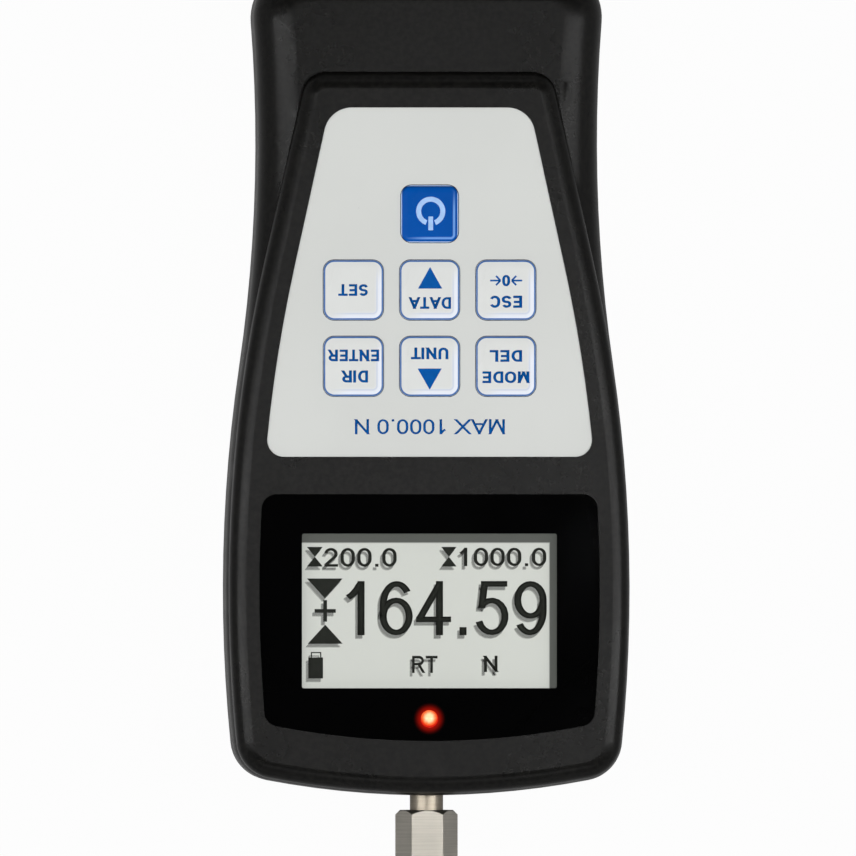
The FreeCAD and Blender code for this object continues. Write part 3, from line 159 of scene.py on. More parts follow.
def tint(tree, factor, first, second, blend="MIX"):
    node = tree.nodes.new("ShaderNodeMix")
    node.data_type = "RGBA"
    node.blend_type = blend
    fill(tree, node.inputs[0], factor)
    fill(tree, node.inputs[6], first)
    fill(tree, node.inputs[7], second)
    return node.outputs[2]


def grey_of(tree, level):
    return add_node(tree, "ShaderNodeCombineColor", Red=level, Green=level, Blue=level).outputs[0]


def split(tree, vector):
    return add_node(tree, "ShaderNodeSeparateXYZ", Vector=vector).outputs


def flat_distance(tree, place):
    """How far a point is from the pattern's centre, seen from above."""
    parts = split(tree, place)
    flat = add_node(tree, "ShaderNodeCombineXYZ", X=parts["X"], Y=parts["Y"]).outputs[0]
    return add_node(tree, "ShaderNodeVectorMath", {"operation": "LENGTH"}, Vector=flat).outputs["Value"]


def front_only(tree):
    """1 on the side that a face looks out of, and 0 on its back."""
    behind = tree.nodes.new("ShaderNodeNewGeometry").outputs["Backfacing"]
    return reckon(tree, "SUBTRACT", 1.0, behind)


# Node groups that several finishes share

def new_group(name, inputs, outputs):
    group = bpy.data.node_groups.new(name, "ShaderNodeTree")
    for label, kind, value in inputs:
        socket = group.interface.new_socket(name=label, in_out="INPUT", socket_type="NodeSocket" + kind)
        if value is not None:
            socket.default_value = value
    for label, kind in outputs:
        group.interface.new_socket(name=label, in_out="OUTPUT", socket_type="NodeSocket" + kind)
    return group, group.nodes.new("NodeGroupInput").outputs, group.nodes.new("NodeGroupOutput").inputs


def moulded_grain_group():
    """Spark-eroded skin: a fine noise with shallow pits between its grains."""
    pit_share = 0.45
    pits_finer = 2.7
    group, given, result = new_group(
        "moulded_grain",
        [("Vector", "Vector", None), ("Fineness", "Float", 3000.0)],
        [("Height", "Float")],
    )
    place = given["Vector"]
    coarse = add_node(group, "ShaderNodeTexNoise", Vector=place, Scale=given["Fineness"], Detail=2.0)
    finer = reckon(group, "MULTIPLY", given["Fineness"], pits_finer)
    pits = add_node(group, "ShaderNodeTexVoronoi", {"feature": "SMOOTH_F1"}, Vector=place, Scale=finer)
    mixed = reckon(group, "MULTIPLY_ADD", pits.outputs["Distance"], pit_share, coarse.outputs["Fac"])
    group.links.new(mixed, result["Height"])
    return group


def handling_group():
    """Roughness that drifts where hands have polished a surface a little."""
    group, given, result = new_group(
        "handling",
        [
            ("Vector", "Vector", None), ("Fineness", "Float", 30.0),
            ("Low", "Float", 0.4), ("High", "Float", 0.5),
        ],
        [("Roughness", "Float")],
    )
    cloud = add_node(
        group, "ShaderNodeTexNoise", Vector=given["Vector"], Scale=given["Fineness"], Detail=5.0,
    )
    smooth = between(group, cloud.outputs["Fac"], *HANDLED_SPAN, given["Low"], given["High"])
    group.links.new(smooth, result["Roughness"])
    return group


def tool_lines_group():
    """Lines across X that run along Y and Z, as grinding, milling and rolling leave them."""
    group, given, result = new_group(
        "tool_lines",
        [("Vector", "Vector", None), ("Fineness", "Float", 4000.0), ("Run", "Float", 60.0)],
        [("Lines", "Float")],
    )
    parts = split(group, given["Vector"])
    across = reckon(group, "MULTIPLY", parts["X"], given["Fineness"])
    along = reckon(group, "MULTIPLY", parts["Y"], given["Run"])
    deep = reckon(group, "MULTIPLY", parts["Z"], given["Run"])
    drawn = add_node(group, "ShaderNodeCombineXYZ", X=across, Y=along, Z=deep)
    lines = add_node(group, "ShaderNodeTexNoise", Vector=drawn.outputs[0], Scale=1.0, Detail=3.0)
    group.links.new(lines.outputs["Fac"], result["Lines"])
    return group


def colour_drift_group():
    """A colour that is a little darker and lighter from place to place."""
    group, given, result = new_group(
        "colour_drift",
        [
            ("Vector", "Vector", None), ("Fineness", "Float", 60.0),
            ("Colour", "Color", None), ("Amount", "Float", 0.05),
        ],
        [("Colour", "Color")],
    )
    cloud = add_node(
        group, "ShaderNodeTexNoise", Vector=given["Vector"], Scale=given["Fineness"], Detail=4.0,
    )
    low = reckon(group, "SUBTRACT", 1.0, given["Amount"])
    high = reckon(group, "ADD", 1.0, given["Amount"])
    level = between(group, cloud.outputs["Fac"], *NOISE_SPAN, low, high)
    drifted = tint(group, 1.0, given["Colour"], grey_of(group, level), "MULTIPLY")
    group.links.new(drifted, result["Colour"])
    return group


def key_edge_group():
    """How far inside a key's rounded edge a point lies, and how much of the bright side it is on."""
    lit_from, lit_to = -0.001, 0.006
    dark_from, dark_to = 0.0035, 0.0068
    group, given, result = new_group(
        "key_edge",
        [("Vector", "Vector", None), ("Half", "Float", 0.0072), ("Corner", "Float", 0.0026)],
        [("Inset", "Float"), ("Lit Side", "Float"), ("Dark Side", "Float")],
    )
    parts = split(group, given["Vector"])
    straight = reckon(group, "SUBTRACT", given["Half"], given["Corner"])
    past_x = reckon(group, "SUBTRACT", reckon(group, "ABSOLUTE", parts["X"]), straight)
    past_y = reckon(group, "SUBTRACT", reckon(group, "ABSOLUTE", parts["Y"]), straight)
    out_x = reckon(group, "MAXIMUM", past_x, 0.0)
    out_y = reckon(group, "MAXIMUM", past_y, 0.0)
    squares = reckon(
        group, "ADD", reckon(group, "MULTIPLY", out_x, out_x), reckon(group, "MULTIPLY", out_y, out_y),
    )
    inner = reckon(group, "MINIMUM", reckon(group, "MAXIMUM", past_x, past_y), 0.0)
    beyond = reckon(group, "ADD", reckon(group, "SQRT", squares), inner)
    lean = reckon(group, "SUBTRACT", parts["X"], parts["Y"])
    group.links.new(reckon(group, "SUBTRACT", given["Corner"], beyond), result["Inset"])
    group.links.new(between(group, lean, lit_from, lit_to), result["Lit Side"])
    group.links.new(between(group, parts["Y"], dark_from, dark_to), result["Dark Side"])
    return group


GRAIN = moulded_grain_group()
HANDLING = handling_group()
TOOL_LINES = tool_lines_group()
DRIFT = colour_drift_group()
KEY_EDGE = key_edge_group()


def use(tree, group, **inputs):
    node = tree.nodes.new("ShaderNodeGroup")
    node.node_tree = group
    for name, value in inputs.items():
        fill(tree, node.inputs[name.replace("_", " ")], value)
    return node.outputs


def grained(tree, place, fineness):
    return use(tree, GRAIN, Vector=place, Fineness=fineness)["Height"]


def handled(tree, place, low, high, fineness):
    return use(tree, HANDLING, Vector=place, Fineness=fineness, Low=low, High=high)["Roughness"]


def drifting(tree, place, colour, amount, fineness):
    return use(tree, DRIFT, Vector=place, Fineness=fineness, Colour=colour, Amount=amount)["Colour"]


# Finishes

def start_finish(name, shift=(0.0, 0.0, 0.0), turn=(0.0, 0.0, 0.0)):
    """A material with its shader, and the object's coordinates centred and turned for its pattern."""
    material = bpy.data.materials.new(name)
    material.use_nodes = True
    tree = material.node_tree
    tree.nodes.clear()
    shader = tree.nodes.new("ShaderNodeBsdfPrincipled")
    output = tree.nodes.new("ShaderNodeOutputMaterial")
    tree.links.new(shader.outputs[0], output.inputs["Surface"])
    place = tree.nodes.new("ShaderNodeTexCoord").outputs["Object"]
    if any(shift) or any(turn):
        centred = add_node(tree, "ShaderNodeMapping", {"vector_type": "TEXTURE"}, Vector=place)
        centred.inputs["Location"].default_value = shift
        centred.inputs["Rotation"].default_value = turn
        place = centred.outputs[0]
    return material, tree, shader, place


def paint(tree, shader, colour, roughness):
    fill(tree, shader.inputs["Base Color"], colour)
    fill(tree, shader.inputs["Roughness"], roughness)


def relief(tree, shader, height, depth, strength=1.0):
    """Bumps of this depth, in mm."""
    bump = add_node(tree, "ShaderNodeBump", Height=height, Strength=strength, Distance=depth * MM)
    tree.links.new(bump.outputs["Normal"], shader.inputs["Normal"])


def middle(node):
    low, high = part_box(node)
    return (low + high) / 2


def moulded(name, colour, low, high, fineness=3000.0, depth=0.02, drift=0.08, specular=0.5, mottled=0.0):
    """Moulded plastic or foam: a grain, a drift of colour and a handled sheen from low to high."""
    material, tree, shader, place = start_finish(name)
    skin = drifting(tree, place, colour, drift, fineness=45.0)
    if mottled:
        skin = drifting(tree, place, skin, mottled, fineness=MOTTLE)
    paint(tree, shader, skin, handled(tree, place, low, high, fineness=38.0))
    shader.inputs["Specular IOR Level"].default_value = specular
    relief(tree, shader, grained(tree, place, fineness), depth)
    return material


def metal(name, colour, low, high, across=True, fineness=5000.0, run=90.0, depth=0.004, contrast=0.16):
    """Worked metal: tool lines in its colour, its sheen and its surface, along Y or across it."""
    turn = (0.0, 0.0, 0.0) if across else (0.0, 0.0, math.pi / 2)
    material, tree, shader, place = start_finish(name, turn=turn)
    lines = use(tree, TOOL_LINES, Vector=place, Fineness=fineness, Run=run)["Lines"]
    base = drifting(tree, place, colour, 0.05, fineness=120.0)
    grey = grey_of(tree, between(tree, lines, *NOISE_SPAN, 1.0 - contrast, 1.0))
    toned = tint(tree, 1.0, base, grey, "MULTIPLY")
    paint(tree, shader, toned, between(tree, lines, *NOISE_SPAN, high, low))
    shader.inputs["Metallic"].default_value = 1.0
    relief(tree, shader, lines, depth)
    return material


def sparse_specks(tree, place, fineness, size, rarity):
    """Round specks in a few of the pattern's cells: in the more of them, the lower the rarity."""
    cells = add_node(tree, "ShaderNodeTexVoronoi", Vector=place, Scale=fineness)
    inside = reckon(tree, "LESS_THAN", cells.outputs["Distance"], size)
    shade = add_node(tree, "ShaderNodeSeparateColor", Color=cells.outputs["Color"])
    chosen = reckon(tree, "GREATER_THAN", shade.outputs["Red"], rarity)
    return reckon(tree, "MULTIPLY", inside, chosen)


def panel_film():
    """Satin printed film with a fine tooth and sparse specks."""
    material, tree, shader, place = start_finish("panel_film")
    tooth_strength = 0.10
    speck_strength = 0.22
    skin = drifting(tree, place, PANEL_GREY, 0.018, fineness=28.0)
    grain = grained(tree, place, FINE_GRAIN)
    toned = tint(tree, between(tree, grain, 0.35, 0.9, 0.0, tooth_strength), skin, PANEL_TOOTH)
    specks = sparse_specks(tree, place, fineness=300.0, size=0.05, rarity=0.82)
    toned = tint(tree, reckon(tree, "MULTIPLY", specks, speck_strength), toned, PANEL_SPECK)
    paint(tree, shader, toned, handled(tree, place, 0.36, 0.46, fineness=40.0))
    relief(tree, shader, grain, 0.006)
    return material


def start_key_print(name, corner):
    """A key's material, with where a point lies in the rounded square of the key's top."""
    low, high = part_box("key_" + name)
    centre = middle("key_" + name)
    material, tree, shader, place = start_finish("key_print_" + name, shift=(centre.x, centre.y, 0.0))
    edge = use(tree, KEY_EDGE, Vector=place, Half=(high.x - low.x) / 2, Corner=corner * MM)
    return material, tree, shader, place, edge


def within(tree, inset, start, full, strength=1.0):
    """Grows to this strength between two distances inside the key's edge, in mm."""
    return between(tree, inset, start * MM, full * MM, 0.0, strength)


def inset_line(tree, edge, middle_line, core, fade, strength):
    """A soft line that runs this far inside the key's edge, on its bright side, in mm."""
    away = reckon(tree, "ABSOLUTE", reckon(tree, "SUBTRACT", edge["Inset"], middle_line * MM))
    line = reckon(tree, "SUBTRACT", 1.0, between(tree, away, core * MM, fade * MM))
    return reckon(tree, "MULTIPLY", reckon(tree, "MULTIPLY", line, edge["Lit Side"]), strength)


def embossed(tree, shader, place, inset, reach):
    """The rise of a key's film over this distance from its edge, and the film's grain on it."""
    grain_share = 0.03
    rise = 0.18
    crown = within(tree, inset, 0.0, reach)
    height = reckon(tree, "MULTIPLY_ADD", grained(tree, place, FINE_GRAIN), grain_share, crown)
    relief(tree, shader, height, rise, strength=0.6)


def printed_key(name):
    """A pale embossed key: printed blue line round its edge, painted highlight and a faint painted shade
    line inside it on the lit side, painted highlight on its rim.
    """
    material, tree, shader, place, edge = start_key_print(name, KEY_CORNER)
    inset = edge["Inset"]
    # Painted highlight: a bright band inside the edge on the lit side, where the embossed shoulder catches
    # the light
    painted_highlight = reckon(tree, "MULTIPLY", within(tree, inset, 2.4, 0.6), edge["Lit Side"])
    # Painted shade: a faint darker line 1.55 mm inside the edge, on the lit side only
    second = inset_line(tree, edge, middle_line=1.55, core=0.05, fade=0.3, strength=0.28)
    line = within(tree, inset, 0.52, 0.38)
    # Painted highlight: a pale line along the very rim of the key
    rim = within(tree, inset, 0.12, 0.02, strength=0.7)
    face = drifting(tree, place, KEY_WHITE, 0.02, fineness=90.0)
    for mask, colour in ((painted_highlight, GLOW_WHITE), (second, SHADE_LINE_BLUE), (line, LINE_BLUE), (rim, GLOW_WHITE)):
        face = tint(tree, mask, face, colour)
    paint(tree, shader, face, handled(tree, place, 0.26, 0.36, fineness=70.0))
    shader.inputs["Specular IOR Level"].default_value = 0.25
    embossed(tree, shader, place, inset, reach=2.2)
    return material


def power_key_print():
    """The blue key: painted shade along its far edge, painted highlight along the near and the right, and
    on its rim.
    """
    material, tree, shader, place, edge = start_key_print("power", POWER_CORNER)
    inset = edge["Inset"]
    # Painted shade: darker along the far edge, away from the light
    dark = reckon(tree, "MULTIPLY", within(tree, inset, 1.1, 0.2), edge["Dark Side"])
    # Painted highlight: a pale line inside the near and right edges, on the lit side
    painted_highlight = inset_line(tree, edge, middle_line=1.05, core=0.1, fade=0.4, strength=0.75)
    # Painted highlight: a pale line along the rim
    rim = within(tree, inset, 0.32, 0.18, strength=0.85)
    face = drifting(tree, place, KEY_BLUE, 0.06, fineness=110.0)
    for mask, colour in ((dark, SHADED_KEY_BLUE), (painted_highlight, HIGHLIGHT_BLUE), (rim, RIM_HIGHLIGHT_BLUE)):
        face = tint(tree, mask, face, colour)
    paint(tree, shader, face, handled(tree, place, 0.24, 0.34, fineness=70.0))
    shader.inputs["Specular IOR Level"].default_value = 0.04
    embossed(tree, shader, place, inset, reach=2.0)
    return material


def display_glass():
    """Pale lit liquid crystal, a faint grid of dots and a painted shadow of the mask's edge at top and
    right.
    """
    centre = middle("lcd_glass")
    material, tree, shader, place = start_finish("display_glass", shift=(centre.x, centre.y, 0.0))
    parts = split(tree, place)
    right = (VIEW_WIDTH / 2 - SHADOW_BAND_SIDE) * MM
    top = (VIEW_HEIGHT / 2 - SHADOW_BAND_TOP) * MM
    soft = SHADOW_BAND_BLUR * MM
    # Painted shadow: a grey band inside the top and right edges of the view, where the mask's edge shades
    # the display from light above and to the right
    mask_shadow = reckon(
        tree, "MAXIMUM",
        between(tree, parts["X"], right - soft, right + soft),
        between(tree, parts["Y"], top - soft, top + soft),
    )
    columns = reckon(tree, "PINGPONG", parts["X"], DOT_PITCH / 2 * MM)
    rows = reckon(tree, "PINGPONG", parts["Y"], DOT_PITCH / 2 * MM)
    nearest = reckon(tree, "MINIMUM", columns, rows)
    grid = between(tree, nearest, 0.04 * MM, 0.01 * MM, 0.0, GRID_STRENGTH)
    field = tint(tree, grid, drifting(tree, place, DISPLAY_GREY, 0.02, fineness=14.0), DISPLAY_GRID)
    picture = tint(tree, mask_shadow, field, MASK_SHADOW_TONE)
    matt = tint(tree, 1.0, picture, DISPLAY_MATT, "MULTIPLY")
    paint(tree, shader, matt, handled(tree, place, 0.32, 0.42, fineness=60.0))
    # The display glows as from its backlight. The glow also stands in for light that falls on it, so it is
    # partly painted light, and it carries the painted shadow band
    fill(tree, shader.inputs["Emission Color"], picture)
    shader.inputs["Emission Strength"].default_value = 0.60
    shader.inputs["Specular IOR Level"].default_value = 0.15
    return material


def window_plate():
    """Clear acrylic: its upper face mirrors as much as its slant makes it, and the rest is clear."""
    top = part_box("display_window")[1].z
    material, tree, shader, place = start_finish("window_plate")
    mirror = drifting(tree, place, CLEAR_ACRYLIC, 0.02, fineness=30.0)
    paint(tree, shader, mirror, handled(tree, place, 0.02, 0.045, fineness=45.0))
    shader.inputs["Metallic"].default_value = 1.0
    mirrored = add_node(tree, "ShaderNodeFresnel", IOR=ACRYLIC_IOR).outputs[0]
    upper = between(tree, split(tree, place)["Z"], top - 0.06 * MM, top - 0.01 * MM)
    shown = reckon(tree, "MULTIPLY", upper, front_only(tree))
    fill(tree, shader.inputs["Alpha"], reckon(tree, "MULTIPLY", shown, mirrored))
    return material


def mask_print():
    """Gloss black print behind the window, with the lamp's red glow round its hole."""
    centre = middle("status_led")
    material, tree, shader, place = start_finish("mask_print", shift=(centre.x, centre.y, centre.z))
    glow = between(tree, flat_distance(tree, place), GLOW_REACH * MM, GLOW_START * MM)
    red = tint(tree, reckon(tree, "POWER", glow, 1.9), NO_LIGHT, GLOW_RED)
    black = drifting(tree, place, GLOSS_BLACK, 0.2, fineness=60.0)
    paint(tree, shader, black, handled(tree, place, 0.05, 0.10, fineness=40.0))
    fill(tree, shader.inputs["Emission Color"], red)
    shader.inputs["Emission Strength"].default_value = 1.0
    shader.inputs["Specular IOR Level"].default_value = 0.0
    return material


def lamp_lens():
    """A lit red lamp: pale orange heart, orange body and a deep red rim, a little uneven."""
    tailwards = 0.3
    unevenness = 0.5
    centre = middle("status_led")
    heart = (centre.x, centre.y + tailwards * MM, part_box("status_led")[1].z)
    material, tree, shader, place = start_finish("lamp_lens", shift=heart)
    cloud = add_node(tree, "ShaderNodeTexNoise", Vector=place, Scale=1600.0, Detail=2.0).outputs["Fac"]
    uneven = reckon(tree, "SUBTRACT", cloud, 0.5)
    away = reckon(tree, "MULTIPLY_ADD", uneven, unevenness * MM, flat_distance(tree, place))
    body = tint(tree, between(tree, away, 0.6 * MM, 1.7 * MM), LAMP_HEART, LAMP_ORANGE)
    body = tint(tree, between(tree, away, 1.6 * MM, 2.1 * MM), body, LAMP_RED)
    paint(tree, shader, LAMP_BODY, 0.25)
    fill(tree, shader.inputs["Emission Color"], body)
    shader.inputs["Emission Strength"].default_value = 1.0
    return material


def board_laminate():
    """Green laminate: a woven glass cloth under its solder mask."""
    thread_waves = 9000.0
    weave_strength = 0.12
    material, tree, shader, place = start_finish("board_laminate")
    parts = split(tree, place)
    warp = reckon(tree, "SINE", reckon(tree, "MULTIPLY", parts["X"], thread_waves))
    weft = reckon(tree, "SINE", reckon(tree, "MULTIPLY", parts["Y"], thread_waves))
    cloth = reckon(tree, "MULTIPLY", warp, weft)
    green = drifting(tree, place, LAMINATE_GREEN, 0.1, fineness=80.0)
    green = tint(tree, between(tree, cloth, -1.0, 1.0, 0.0, weave_strength), green, WEAVE_GREEN)
    paint(tree, shader, green, handled(tree, place, 0.25, 0.35, fineness=60.0))
    relief(tree, shader, cloth, 0.006)
    return material


def printed_ink(name, colour, rough=0.35):
    material, tree, shader, place = start_finish(name)
    ink = drifting(tree, place, colour, 0.07, fineness=600.0)
    paint(tree, shader, ink, handled(tree, place, rough, rough + 0.1, fineness=200.0))
    shader.inputs["Specular IOR Level"].default_value = 0.04
    return material


def figure_shadow():
    """The faint shadow that the figures throw on the reflector behind them."""
    material, tree, shader, place = start_finish("figure_shadow")
    strength = 0.27
    paint(tree, shader, drifting(tree, place, SHADOW_GREY, 0.05, fineness=500.0), 0.6)
    shader.inputs["Specular IOR Level"].default_value = 0.1
    fill(tree, shader.inputs["Alpha"], reckon(tree, "MULTIPLY", front_only(tree), strength))
    return material


FINISHES = {
    "case": moulded(
        "case_moulding", BLACK_MOULDING, 0.26, 0.33,
        fineness=2600.0, depth=0.016, drift=0.10, specular=0.165, mottled=0.6,
    ),
    "panel": panel_film(),
    "window": window_plate(),
    "mask": mask_print(),
    "bezel": metal("bezel_plate", (0.42, 0.42, 0.43, 1.0), 0.30, 0.42),
    "backlight": moulded(
        "light_guide", (0.80, 0.80, 0.78, 1.0), 0.20, 0.30, fineness=1800.0, depth=0.006, drift=0.02,
    ),
    "display": display_glass(),
    "foam": moulded("closed_foam", (0.020, 0.020, 0.020, 1.0), 0.80, 0.95, fineness=1500.0, depth=0.08),
    "lamp": lamp_lens(),
    "board": board_laminate(),
    "chips": moulded(
        "chip_packages", (0.020, 0.020, 0.021, 1.0), 0.50, 0.62, fineness=6000.0, depth=0.008,
    ),
    "switches": moulded(
        "switch_bases", (0.030, 0.030, 0.030, 1.0), 0.40, 0.50, fineness=5000.0, depth=0.006,
    ),
    "plunger": moulded(
        "switch_plungers", (0.60, 0.58, 0.50, 1.0), 0.38, 0.48, fineness=5000.0, depth=0.006, drift=0.03,
    ),
    "plated_steel": metal("zinc_plate", (0.52, 0.53, 0.52, 1.0), 0.28, 0.42, fineness=3500.0),
    "cell_alloy": metal(
        "milled_alloy", (0.62, 0.63, 0.64, 1.0), 0.24, 0.38,
        across=False, fineness=2200.0, run=30.0, depth=0.008,
    ),
    "foil": metal("foil_gauges", (0.70, 0.50, 0.25, 1.0), 0.25, 0.35, fineness=8000.0),
    "bronze": metal(
        "sintered_bronze", (0.45, 0.30, 0.13, 1.0), 0.40, 0.55, fineness=3000.0, run=3000.0, depth=0.01,
    ),
    "axle_steel": metal(
        "ground_axle", AXLE_STEEL, 0.34, 0.44,
        across=False, fineness=7000.0, run=120.0, depth=0.002, contrast=0.12,
    ),
    "adapter_steel": metal(
        "turned_adapter", ADAPTER_STEEL, 0.34, 0.46,
        across=False, fineness=5200.0, run=45.0, contrast=0.12,
    ),
    "battery_cans": metal("cell_cans", (0.58, 0.59, 0.60, 1.0), 0.22, 0.34, fineness=4200.0),
    "sleeve": moulded(
        "shrink_sleeve", (0.012, 0.075, 0.220, 1.0), 0.22, 0.32, fineness=900.0, depth=0.04, drift=0.06,
    ),
    "socket_plastic": moulded(
        "socket_moulding", (0.018, 0.018, 0.019, 1.0), 0.30, 0.42, fineness=4500.0, depth=0.006,
    ),
    "socket_metal": metal("tinned_shield", (0.60, 0.60, 0.61, 1.0), 0.24, 0.38, fineness=3600.0),
    "screw_steel": metal("black_zinc", (0.085, 0.085, 0.09, 1.0), 0.32, 0.46, fineness=4200.0, run=900.0),
    "key_power": power_key_print(),
}
for key_name in ("set", "up", "escape", "enter", "down", "mode"):
    FINISHES["key_" + key_name] = printed_key(key_name)
LEGEND_INK = printed_ink("legend_ink", INK_BLUE)
SYMBOL_INK = printed_ink("symbol_ink", SYMBOL_BLUE, 0.28)
FIGURE_INK = printed_ink("figure_ink", FIGURE_BLACK, 0.45)
SHADOW = figure_shadow()


def dress_nodes():
    """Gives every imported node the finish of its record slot, and each key its own print."""
    for part in frame["record"]["subparts"]:
        name = part["node"]
        finish = FINISHES.get(name) or FINISHES[part["material_slot"]]
        for slot in frame["nodes"][name].material_slots:
            slot.material = finish


# Printed marks, modelled as thin ink. Their x and y are in mm, and z in metres, as the frame gives it.

def deselect():
    if bpy.context.mode != "OBJECT":
        bpy.ops.object.mode_set(mode="OBJECT")
    bpy.ops.object.select_all(action="DESELECT")


def settle(name, ink, x, y, z, turned=False):
    """Names the active piece, puts it at its place and takes the place into its mesh."""
    piece = bpy.context.object
    piece.name = name
    piece.data.name = name
    piece.location = (x * MM, y * MM, z)
    if turned:
        piece.rotation_euler = (0.0, 0.0, math.pi)
    bpy.ops.object.transform_apply(location=True, rotation=True, scale=True)
    piece.data.materials.clear()
    piece.data.materials.append(ink)
    return piece


def sweep(cx, cy, rx, ry, first, last, steps=16):
    """Points along an ellipse from the first angle to the last, in degrees."""
    turns = [math.radians(first + (last - first) * i / steps) for i in range(steps + 1)]
    return [(cx + rx * math.cos(a), cy + ry * math.sin(a)) for a in turns]


def upside_down(points):
    return [(1 - u, 1 - v) for u, v in points]


STEM = [(0.0, 0.0), (0.0, 1.0)]
FAR_STEM = [(1.0, 0.0), (1.0, 1.0)]
HEAD_BAR = [(0.0, 1.0), (1.0, 1.0)]
FOOT_BAR = [(0.0, 0.0), (1.0, 0.0)]
OVAL = sweep(0.5, 0.62, 0.5, 0.38, 0, 180) + sweep(0.5, 0.38, 0.5, 0.38, 180, 360)
SIX_BOWL = sweep(0.5, 0.33, 0.5, 0.33, 0, 360, 28)[:-1]
SIX_BACK = sweep(0.52, 0.56, 0.52, 0.44, 38, 180) + [(0.0, 0.33)]
ONE_FLAG = [(0.0, 0.72), (0.28, 0.77), (0.62, 0.88), (0.88, 1.0)]
TWO_NECK = sweep(0.5, 0.71, 0.47, 0.29, 172, -32) + [(0.06, 0.06), (0.02, 0.0)]
FOUR_SLANT = [(0.70, 0.98), (0.36, 0.64), (0.02, 0.30)]
FIVE_BACK = [(0.20, 1.0), (0.145, 0.75), (0.09, 0.50)]
FIVE_BOWL = sweep(0.48, 0.33, 0.52, 0.33, 142, -162)
C_CURVE = sweep(0.5, 0.60, 0.5, 0.40, 28, 180) + sweep(0.5, 0.40, 0.5, 0.40, 180, 332)
D_BOWL = [(0.0, 1.0)] + sweep(0.42, 0.5, 0.58, 0.5, 90, -90) + [(0.0, 0.0)]
R_BOWL = [(0.0, 1.0)] + sweep(0.56, 0.76, 0.40, 0.24, 90, -90) + [(0.0, 0.52)]
S_CURVE = sweep(0.5, 0.755, 0.46, 0.245, 20, 245) + sweep(0.5, 0.262, 0.5, 0.262, 62, -165)
U_CURVE = [(0.0, 1.2), (0.0, 0.8)] + sweep(0.5, 0.38, 0.5, 0.38, 180, 360) + [(1.0, 0.8), (1.0, 1.2)]
DIGIT_STEP = 0.707

# Each letter: the gap before it, its width and its step to the next letter, to a height of 1, then
# its open strokes and its closed ones, drawn in the unit square of their own middle lines.
LETTERS = {
    "0": (0.05, 0.61, DIGIT_STEP, [], [OVAL]),
    "1": (0.105, 0.39, DIGIT_STEP, [[(0.94, 0.0), (0.94, 1.0)], ONE_FLAG], []),
    "2": (0.05, 0.60, DIGIT_STEP, [TWO_NECK, [(0.04, 0.0), (1.0, 0.0)]], []),
    "4": (
        0.015, 0.645, DIGIT_STEP,
        [[(0.71, 0.0), (0.71, 1.0)], FOUR_SLANT, [(0.0, 0.27), (1.0, 0.27)]], [],
    ),
    "5": (0.055, 0.605, DIGIT_STEP, [[(0.20, 1.0), (0.95, 1.0)], FIVE_BACK, FIVE_BOWL], []),
    "6": (0.05, 0.61, DIGIT_STEP, [SIX_BACK], [SIX_BOWL]),
    "9": (0.055, 0.60, DIGIT_STEP, [upside_down(SIX_BACK)], [upside_down(SIX_BOWL)]),
    "A": (
        0.0, 0.86, 0.90,
        [[(0.0, 0.0), (0.5, 1.0)], [(1.0, 0.0), (0.5, 1.0)], [(0.22, 0.30), (0.78, 0.30)]], [],
    ),
    "C": (0.05, 0.78, 0.92, [C_CURVE], []),
    "D": (0.06, 0.76, 0.90, [STEM, D_BOWL], []),
    "E": (0.07, 0.65, 0.80, [STEM, HEAD_BAR, [(0.0, 0.52), (0.9, 0.52)], FOOT_BAR], []),
    "I": (0.07, 0.0, 0.32, [STEM], []),
    "L": (0.07, 0.62, 0.76, [STEM, FOOT_BAR], []),
    "M": (
        0.07, 0.86, 1.02,
        [STEM, FAR_STEM, [(0.0, 1.0), (0.5, 0.0)], [(1.0, 1.0), (0.5, 0.0)]], [],
    ),
    "N": (0.07, 0.76, 0.92, [STEM, FAR_STEM, [(0.0, 1.0), (1.0, 0.0)]], []),
    "O": (0.04, 0.84, 0.94, [], [OVAL]),
    "R": (0.07, 0.76, 0.90, [STEM, R_BOWL, [(0.56, 0.50), (1.0, 0.0)]], []),
    "S": (0.04, 0.72, 0.82, [S_CURVE], []),
    "T": (0.02, 0.74, 0.78, [HEAD_BAR, [(0.5, 0.0), (0.5, 1.0)]], []),
    "U": (0.06, 0.76, 0.90, [U_CURVE], []),
    "X": (0.0, 0.84, 0.86, [[(0.0, 0.0), (1.0, 1.0)], [(0.0, 1.0), (1.0, 0.0)]], []),
}
POINT_GAP = 0.098
POINT_STEP = 0.353
POINT_SIZE = 0.15
WORD_GAP = 0.34


def drawn_out(start, end, line):
    """A straight stroke with its ends carried on, so that corners close and slants can be cut flat."""
    run = Vector(end) - Vector(start)
    level = abs(run.x) < 0.001 or abs(run.y) < 0.001
    step = run.normalized()
    points = []
    for place, way in ((start, -1), (end, 1)):
        at_edge = place[1] < line or place[1] > 1 - line
        reach = line / 2 if level else (line if at_edge else 0.0)
        points.append((place[0] + way * step.x * reach, place[1] + way * step.y * reach))
    return points


def letter_strokes(words, line, contrast):
    """The strokes of the words at a height of 1, as (points, closed), drawn narrower by the
    contrast, so that stretching them back makes the upright strokes the heavier ones."""
    pen = line * contrast
    strokes = []
    left = 0.0
    for letter in words:
        if letter == " ":
            left += WORD_GAP
            continue
        if letter == ".":
            x = (left + POINT_GAP + POINT_SIZE / 2) / contrast
            strokes.append(([(x, 0.0), (x, POINT_SIZE)], False))
            left += POINT_STEP
            continue
        before, width, step, open_strokes, closed_strokes = LETTERS[letter]
        wide = max(width - pen, 0.0)
        first = left + before + pen / 2
        for closed, drawn in ((False, open_strokes), (True, closed_strokes)):
            for points in drawn:
                placed = [((first + u * wide) / contrast, line / 2 + v * (1 - line)) for u, v in points]
                if len(placed) == 2:
                    placed = drawn_out(placed[0], placed[1], line)
                strokes.append((placed, closed))
        left += step
    return strokes


